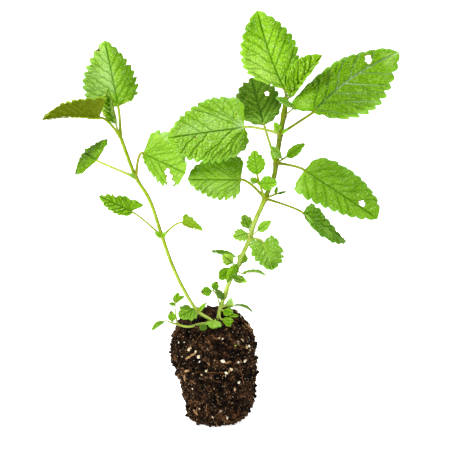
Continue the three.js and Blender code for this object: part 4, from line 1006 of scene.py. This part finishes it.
def add_lump(shape, ball, place, size, random, roughness, tint):
    """Adds an uneven lump, of size (x, y, z) before it is turned at random."""
    points, faces = ball
    bumps = 1 + roughness * np.sin(points @ random.uniform(-4, 4, (3, 3)) + random.uniform(0, 6, 3))
    turn, _ = np.linalg.qr(random.normal(size=(3, 3)))
    turn *= np.sign(np.linalg.det(turn))
    points = place + (points * bumps * size) @ turn.T
    keep_above(points, 0)
    shape.add(points, faces, tint=tint)


class Ball:
    """The peat ball: its surface, and what lies on it at random. Each build method makes one
    piece. They all draw from the same random numbers, so their order matters."""

    def __init__(self):
        self.random = np.random.RandomState(BALL_SEED)
        self.coarse, self.fine = lump(1), lump(2)

    def build_body(self, peat):
        """The body: the solid's own form with a finer relief, painted lighter on its crests and darker in
        its gaps as painted light and shade.
        """
        share = np.linspace(0, 1, BALL_ROWS + 2)[1:-1]
        angle, share = np.meshgrid(round_angles(BALL_COLUMNS), share)
        points = ball_point(share, angle).reshape(-1, 3)
        out = points - BALL_MIDDLE
        out[:, 2] *= BALL_UPWARD
        out /= np.linalg.norm(out, axis=1)[:, None]
        relief = sum(height * rough(points, size, i) for i, (size, height) in enumerate(BALL_WAVES))
        relief += sum(height * packed(points, size, i)
                      for i, (size, height) in enumerate(BALL_CRUMBS))
        height, least = BALL_SETTLED
        settle = smooth(points[:, 2], 0, height)[:, None]
        points = points + out * relief[:, None] * (least + (1 - least) * settle)
        keep_above(points, 0)
        faces = grid_faces(BALL_ROWS, BALL_COLUMNS, closed=True).tolist()
        faces.append(tuple(reversed(range(BALL_COLUMNS))))
        faces.append(tuple(range(len(points) - BALL_COLUMNS, len(points))))
        body = Shape()
        # painted light on the crests of the relief, painted shade in its gaps
        body.add(points, faces, tint=np.clip(BALL_PAINTED_SHADING * (relief - relief.mean()), -2, 1.2))
        body.build("peat_body", [peat], ["root_ball"], "peat")
        self.surface = points.reshape(BALL_ROWS, BALL_COLUMNS, 3)
        self.outward = out.reshape(BALL_ROWS, BALL_COLUMNS, 3)

    def anywhere(self, low):
        """A random place on the ball, above this share of its profile, and the way out of it."""
        while True:
            row = int(self.random.uniform(low, BALL_HIGHEST) * (BALL_ROWS - 1))
            column = self.random.randint(BALL_COLUMNS)
            place = self.surface[row, column]
            near = (np.hypot(place[0], place[1]) + 2) / BALL_RADIUS
            if self.random.uniform() < near and place[2] > BALL_CLEAR:
                return place, self.outward[row, column]

    def build_crumbs(self, name, peat, kind):
        """Crumbs of one kind, strewn all over the ball."""
        random, crumbs = self.random, Shape()
        least, more, power = kind.size
        for _ in range(kind.count):
            place, way = self.anywhere(kind.low)
            size = least + more * random.uniform() ** power
            add_lump(crumbs, self.coarse, place + way * size * random.uniform(*kind.lift),
                     size * random.uniform(*kind.stretch, 3), random, kind.roughness,
                     random.uniform(*kind.tint))
        crumbs.build(name, [peat], [], "peat")

    def build_grains(self, perlite):
        """Perlite: the grains on the front, others all round and tiny specks."""
        random, grains = self.random, Shape()
        for x, z, size, tone in FRONT_GRAINS:
            place, way = on_front(x, z)
            lift = FRONT_GRAIN_LIFT[0] + FRONT_GRAIN_LIFT[1] * size
            add_lump(grains, self.fine, place + way * lift,
                     size * random.uniform(*FRONT_GRAIN_STRETCH, 3), random, GRAIN_ROUGHNESS, tone)
        for _ in range(GRAIN_COUNT):
            place, way = self.anywhere(GRAIN_LOW)
            if place[1] < GRAIN_FRONT[0] and place[2] > GRAIN_FRONT[1]:
                continue
            size = random.uniform(*GRAIN_SIZE)
            add_lump(grains, self.fine, place + way * GRAIN_LIFT * size,
                     size * random.uniform(*GRAIN_STRETCH, 3), random, GRAIN_ROUGHNESS,
                     random.uniform(*GRAIN_TINT))
        for _ in range(SPECK_COUNT):
            place, way = self.anywhere(SPECK_LOW)
            add_lump(grains, self.coarse, place + way * SPECK_LIFT, random.uniform(*SPECK_SIZE, 3),
                     random, SPECK_ROUGHNESS, random.uniform(*SPECK_TINT))
        grains.build("perlite_grains", [perlite], [], "peat")

    def build_chips(self, bark):
        """Bark: the chips on the front, and others all round."""
        random, chips = self.random, Shape()
        for x0, z0, x1, z1, width in FRONT_CHIPS:
            (start, way), (end, _) = on_front(x0, z0), on_front(x1, z1)
            out = FRONT_CHIP_LIFT * way
            line = np.linspace(start + out, end + out, len(FRONT_CHIP_SHAPE))
            tube(chips, line, width * FRONT_CHIP_SHAPE, FRONT_CHIP_SIDES, way,
                 squareness=CHIP_SQUARENESS, tint=random.uniform(*FRONT_CHIP_TINT))
        count = len(CHIP_SHAPE)
        for _ in range(CHIP_COUNT):
            place, way = self.anywhere(CHIP_LOW)
            turn = unit(np.cross(way, random.normal(size=3)))
            reach = random.uniform(*CHIP_REACH)
            line = place + way * CHIP_LIFT + np.linspace(-1, 1, count)[:, None] * turn * reach
            line += CHIP_CROOK * random.normal(size=(count, 3))
            keep_above(line, CHIP_LEAST_Z)
            tube(chips, line, random.uniform(*CHIP_RADIUS) * CHIP_SHAPE, CHIP_SIDES, way,
                 squareness=CHIP_SQUARENESS, tint=random.uniform(-1, 1))
        chips.build("bark_chips", [bark], [], "peat")

    def build_roots(self, root):
        """Fine roots: the ones on the front, and others all round. Each wanders over the peat."""
        random, roots = self.random, Shape()
        lines = [(on_front(x0, z0)[0], on_front(x1, z1)[0], tone)
                 for x0, z0, x1, z1, tone in FRONT_ROOTS]
        for _ in range(ROOT_COUNT):
            place, way = self.anywhere(ROOT_LOW)
            turn = unit(np.cross(way, random.normal(size=3)) + ROOT_DROOP)
            end = place + turn * random.uniform(*ROOT_LENGTH)
            lines.append((place, end, random.uniform(-1, 1)))
        t = np.linspace(0, 1, ROOT_STEPS)[:, None]
        for start, end, tone in lines:
            line = start + (end - start) * t
            wander = np.cumsum(random.normal(size=(ROOT_STEPS, 3)), axis=0) * ROOT_WANDER
            line = line + wander - wander[-1] * t
            radial = line * np.array([1, 1, 0]) - ROOT_CENTRE
            radial /= np.linalg.norm(radial, axis=1)[:, None]
            arch = ROOT_ARCH[0] * np.sin(math.pi * t) * random.uniform(0, ROOT_ARCH[1])
            line += radial * (ROOT_LIFT + arch)
            radii = random.uniform(*ROOT_RADIUS) * np.linspace(1, 0.5, ROOT_STEPS)
            keep_above(line, ROOT_LEAST_Z)
            tube(roots, line, radii, ROOT_SIDES, ROOT_SIDE, tint=tone)
        roots.build("fine_roots", [root], [], "peat")

    def build_sprout(self, green):
        """One tiny seedling on the front."""
        sprout = Shape()
        place, way = on_front(*SPROUT_PLACE)
        add_lump(sprout, self.fine, place + way * SPROUT_LIFT, SPROUT_SIZE, self.random, 0.3, 0.3)
        sprout.build("green_sprout", [green], [], "leaf_green")


# ---------------------------------------------------------------- materials

def rgb(text):
    """A web colour as the linear colour that Blender's sockets hold."""
    values = [int(text[i:i + 2], 16) / 255 for i in (1, 3, 5)]
    return tuple(((v + 0.055) / 1.055) ** 2.4 if v > 0.04 else v / 12.92 for v in values) + (1.0,)


class Graph:
    """A material's node tree, filled in one node at a time."""

    def __init__(self, name):
        self.material = bpy.data.materials.new(name)
        self.material.use_nodes = True
        self.tree = self.material.node_tree
        self.tree.nodes.clear()

    def add(self, kind, sockets, output=0, **settings):
        """Adds a node and gives one of its outputs. Each socket is set to a number or a colour,
        or joined to another node's output."""
        made = self.tree.nodes.new(kind)
        for key, value in settings.items():
            setattr(made, key, value)
        for key, value in sockets.items():
            if isinstance(value, bpy.types.NodeSocket):
                self.tree.links.new(value, made.inputs[key])
            elif value is not None:
                made.inputs[key].default_value = rgb(value) if isinstance(value, str) else value
        return made.outputs[output]

    def value(self, name):
        """One of the layers of the shape."""
        return self.add("ShaderNodeAttribute", {}, "Fac", attribute_name=name)

    def flat(self):
        """The place on the unrolled surface."""
        return self.add("ShaderNodeAttribute", {}, "Vector", attribute_name="flat")

    def place(self):
        return self.add("ShaderNodeTexCoord", {}, "Object")

    def plus(self, a, b):
        return self.add("ShaderNodeMath", {0: a, 1: b}, operation="ADD")

    def times(self, a, b):
        return self.add("ShaderNodeMath", {0: a, 1: b}, operation="MULTIPLY")

    def mix(self, share, a, b):
        return self.add("ShaderNodeMix", {0: share, 6: a, 7: b}, 2, data_type="RGBA")

    def cover(self, colour, *layers):
        """Covers a colour with others, each given as the share that it covers and the colour."""
        for share, over in layers:
            colour = self.mix(share, colour, over)
        return colour

    def spread(self, value, low, high, to_low=0.0, to_high=1.0):
        """Maps the values from low to high to these others, and keeps them within."""
        sockets = {0: value, 1: low, 2: high, 3: to_low, 4: to_high}
        return self.add("ShaderNodeMapRange", sockets, clamp=True)

    def grain(self, vector, scale, detail=3.0, roughness=0.6):
        """Noise with this many lumps to a metre."""
        sockets = {"Vector": vector, "Scale": scale, "Detail": detail, "Roughness": roughness}
        return self.add("ShaderNodeTexNoise", sockets, "Fac")

    def net(self, vector, scale):
        """The distance to the nearest of scattered points, this many to a metre."""
        return self.add("ShaderNodeTexVoronoi", {"Vector": vector, "Scale": scale}, "Distance")

    def bump(self, height, strength, distance):
        sockets = {"Height": height, "Strength": strength, "Distance": distance}
        return self.add("ShaderNodeBump", sockets, "Normal")

    def finish(self, colour, roughness, normal, through=None, glow=0.0, **extra):
        """Adds the surface. through is the colour of the light that shines through it, and glow
        its share."""
        sockets = {"Base Color": colour, "Roughness": roughness, "Normal": normal}
        sockets.update({key.replace("_", " "): value for key, value in extra.items()})
        surface = self.add("ShaderNodeBsdfPrincipled", sockets)
        if through is not None:
            lit = self.add("ShaderNodeBsdfTranslucent", {"Color": through, "Normal": normal})
            surface = self.add("ShaderNodeMixShader", {0: glow, 1: surface, 2: lit})
        self.tree.nodes.new("ShaderNodeOutputMaterial")
        self.tree.links.new(surface, self.tree.nodes[-1].inputs["Surface"])
        return self.material


def leaf_material(name, tone):
    """A quilted leaf: a painted highlight and painted glints on its puffed tops, a dark net between them
    that is partly painted shade, darker in its veins, stained at its wounds.
    """
    graph = Graph(name)
    flat = graph.flat()
    mottle = graph.spread(graph.grain(flat, LEAF_MOTTLE, 4), 0.32, 0.68)
    fine = graph.grain(flat, LEAF_FINE, 2)
    top, rim, stain = graph.value("top"), graph.value("rim"), graph.value("stain")
    shade = graph.plus(graph.value("tint"), graph.spread(mottle, 0, 1, -0.16, 0.16))
    under = graph.times(graph.value("under"), graph.spread(rim, 0, 1, 0.85, 0.1))
    # painted glints: small light dots on the puffed tops, in patches
    specks = graph.times(graph.spread(graph.net(flat, LEAF_GLINTS), 0.42, 0.2),
                         graph.spread(graph.grain(flat, LEAF_GLINT_PATCHES, 2), 0.46, 0.56))
    specks = graph.times(specks, graph.spread(top, 0.1, 0.6))
    colour = graph.cover(
        tone.blade,
        # a painted highlight on the puffed tops, then the net, partly painted shade in its grooves
        (graph.times(top, 0.85), tone.top),
        (graph.times(graph.value("net"), 0.7), tone.net),
        (graph.times(rim, 0.7), tone.rim),
        (graph.spread(shade, 0, -1), tone.dark),
        (graph.spread(shade, 0, 1), tone.bright),
        (graph.value("vein"), tone.line),
        (under, tone.under),
        # the painted glints
        (graph.times(specks, tone.sparkle), tone.glint),
        (graph.spread(fine, 0.5, 0.75, 0, 0.15), tone.dark),
        (graph.spread(stain, 0.15, 0.55), STAIN_EDGE),
        (graph.spread(stain, 0.45, 0.85), STAIN_MIDDLE))
    gloss = graph.spread(graph.plus(mottle, fine), 0.4, 1.3, *LEAF_GLOSS)
    height = graph.plus(graph.times(graph.net(flat, LEAF_PORES), 0.9), fine)
    normal = graph.bump(height, 0.6, LEAF_RELIEF)
    return graph.finish(colour, gloss, normal, graph.mix(0.3, colour, tone.top), LEAF_GLOW,
                        Specular_IOR_Level=tone.shine, Specular_Tint=SHINE_TINT)


def stalk_material(name, main, pale, olive):
    """Square stems and leaf stalks: ribbed along their length, reddish at the nodes."""
    graph = Graph(name)
    flat = graph.flat()
    stretched = graph.add("ShaderNodeMapping", {"Vector": flat, "Scale": RIB_STRETCH})
    ribs = graph.grain(stretched, STALK_RIBS, 3)
    blotch = graph.grain(flat, STALK_BLOTCHES, 3)
    # tint also carries the stems' painted shade down their +X side
    tint = graph.plus(graph.value("tint"), graph.spread(blotch, 0.3, 0.7, -0.25, 0.25))
    colour = graph.cover(
        main,
        (graph.spread(tint, 0, 1), pale),
        (graph.spread(tint, 0, -1), olive),
        (graph.spread(ribs, 0.45, 0.7, 0, 0.5), olive),
        (graph.times(graph.value("red"), STALK_REDNESS), STALK_RED))
    gloss = graph.spread(ribs, 0.3, 0.7, 0.35, 0.55)
    normal = graph.bump(graph.plus(ribs, graph.times(blotch, 0.5)), 0.4, STALK_RELIEF)
    return graph.finish(colour, gloss, normal, graph.mix(0.5, colour, main), STALK_GLOW,
                        Specular_IOR_Level=LEAF_SHINE, Specular_Tint=SHINE_TINT)


def crumbly_material(name, dark, main, light, scale, roughness, relief, shine=0.15):
    """Peat, perlite, bark and roots: one recipe of mottled grain with its own three colours."""
    graph = Graph(name)
    place = graph.place()
    broad = graph.grain(place, scale, 5, 0.65)
    fine = graph.grain(place, 6 * scale, 3, 0.7)
    both = graph.plus(broad, fine)
    # tint carries the peat body's painted light and shade, and random tones on the rest
    shade = graph.plus(both, graph.times(graph.value("tint"), 0.22))
    colour = graph.cover(dark, (graph.spread(shade, 0.7, 1.02), main),
                         (graph.spread(shade, 1.05, 1.4), light))
    gloss = graph.spread(fine, 0.3, 0.7, roughness - 0.1, roughness + 0.05)
    return graph.finish(colour, gloss, graph.bump(both, 0.8, relief), Specular_IOR_Level=shine)


def studio_material():
    graph = Graph("studio_white")
    tone = graph.mix(graph.grain(graph.place(), 2, 2), "#fafafa", "#ffffff")
    return graph.finish(tone, 0.9, None, Emission_Color=(1, 1, 1, 1), Emission_Strength=FLOOR_GLOW)


# ---------------------------------------------------------------- the plant put together

leaf_materials = {name: leaf_material(f"leaf_{name}", tone) for name, tone in TONES.items()}
stalk = stalk_material("stalk", "#869c10", "#bcd064", "#586600")
stem = stalk_material("square_stem", "#90ac0c", "#d0e47c", "#465400")

for key in STEMS:
    shape = Shape()
    add_stem(shape, key)
    for i, (node, *place) in enumerate(STEMS[key]["axils"]):
        axil = blade(STEMS[key]["points"][node], *place, AXIL_TEETH)
        add_leaf(shape, axil, None, AXIL_SEED + i, (1, 0))
    shape.build(f"{key}_square_stem", [stem, leaf_materials["bright"]], [f"{key}_stem"], "stem_green")


def build_spray(spray, seed):
    """Builds the piece of a leaf or a shoot: its first blade's stalk starts at the stem, and the
    others start where that stalk forks."""
    start = np.array(STEMS[spray["stem"]]["points"][spray["node"]], float)
    line = stalk_line(spray["blades"][0], start)
    fork = line[round(SHOOT_FORK * (len(line) - 1))]
    tint = stem_tint(spray["stem"], spray["node"])
    shape = Shape()
    for i, one in enumerate(spray["blades"]):
        add_leaf(shape, {"stalk": tint, **one}, fork if i else start, seed + i)
    shape.build(spray["name"] + "_fine", [leaf_materials[spray["tone"]], stalk], [spray["name"]],
                spray["slot"])


for number, spray in enumerate(LEAVES):
    build_spray(spray, number + 1)
for number, spray in enumerate(SHOOTS):
    build_spray(spray, SHOOT_SEED + SHOOT_SEED_STEP * number)

peat = crumbly_material("peat", "#040302", "#1b120b", "#644329", 260, 0.95, 0.0008, 0.05)
ball = Ball()
ball.build_body(peat)
ball.build_crumbs("peat_crumbs", peat, PEAT_CRUMBS)
ball.build_crumbs("peat_bits", peat, PEAT_BITS)
ball.build_grains(crumbly_material("perlite", "#86663c", "#d4c094", "#fffdf2", 300, 0.8, 0.0005))
ball.build_chips(crumbly_material("bark", "#3a2413", "#8a6238", "#c9a878", 420, 0.85, 0.0005))
ball.build_roots(crumbly_material("root", "#4a2410", "#7c4c24", "#c0986a", 500, 0.7, 0.0002))
ball.build_sprout(leaf_materials["bright"])

# ---------------------------------------------------------------- studio and camera

def build_sweep():
    """A white floor that curves up into a backdrop."""
    angles = np.linspace(-math.pi / 2, 0, SWEEP_STEPS)
    middle = SWEEP_BACK - SWEEP_RADIUS
    curve = [(SWEEP_FRONT, 0.0)]
    curve += [(middle + SWEEP_RADIUS * math.cos(a), SWEEP_RADIUS + SWEEP_RADIUS * math.sin(a))
              for a in angles]
    curve += [(SWEEP_BACK, SWEEP_TOP)]
    verts = [(x, y, z) for y, z in curve for x in (-SWEEP_WIDTH / 2, SWEEP_WIDTH / 2)]
    faces = [(2 * i, 2 * i + 1, 2 * i + 3, 2 * i + 2) for i in range(len(curve) - 1)]
    sweep = link("studio_sweep", make_mesh("studio_sweep", verts, faces, [studio_material()]))


def add_light(name, place, size, watts):
    data = bpy.data.lights.new(name, "AREA")
    data.shape = "RECTANGLE"
    data.size, data.size_y = size
    data.energy = watts
    lamp = link(name, data)
    lamp.location = place
    lamp.rotation_euler = (LIGHT_TARGET - Vector(place)).to_track_quat("-Z", "Y").to_euler()


build_sweep()
for light in LIGHTS:
    add_light(*light)

world = bpy.data.worlds.new("studio_world")
world.use_nodes = True
world.node_tree.nodes["Background"].inputs["Color"].default_value = (1, 1, 1, 1)
world.node_tree.nodes["Background"].inputs["Strength"].default_value = WORLD_LIGHT
scene = bpy.context.scene
scene.world = world
scene.view_settings.view_transform = "Standard"
scene.view_settings.look = "None"

lens = bpy.data.cameras.new("camera")
lens.lens, lens.sensor_width = CAMERA_LENS, CAMERA_SENSOR
camera = link("camera", lens)
camera.location = CAMERA_PLACE
camera.rotation_euler = (math.radians(90 - CAMERA_DOWN), 0, 0)
scene.camera = camera
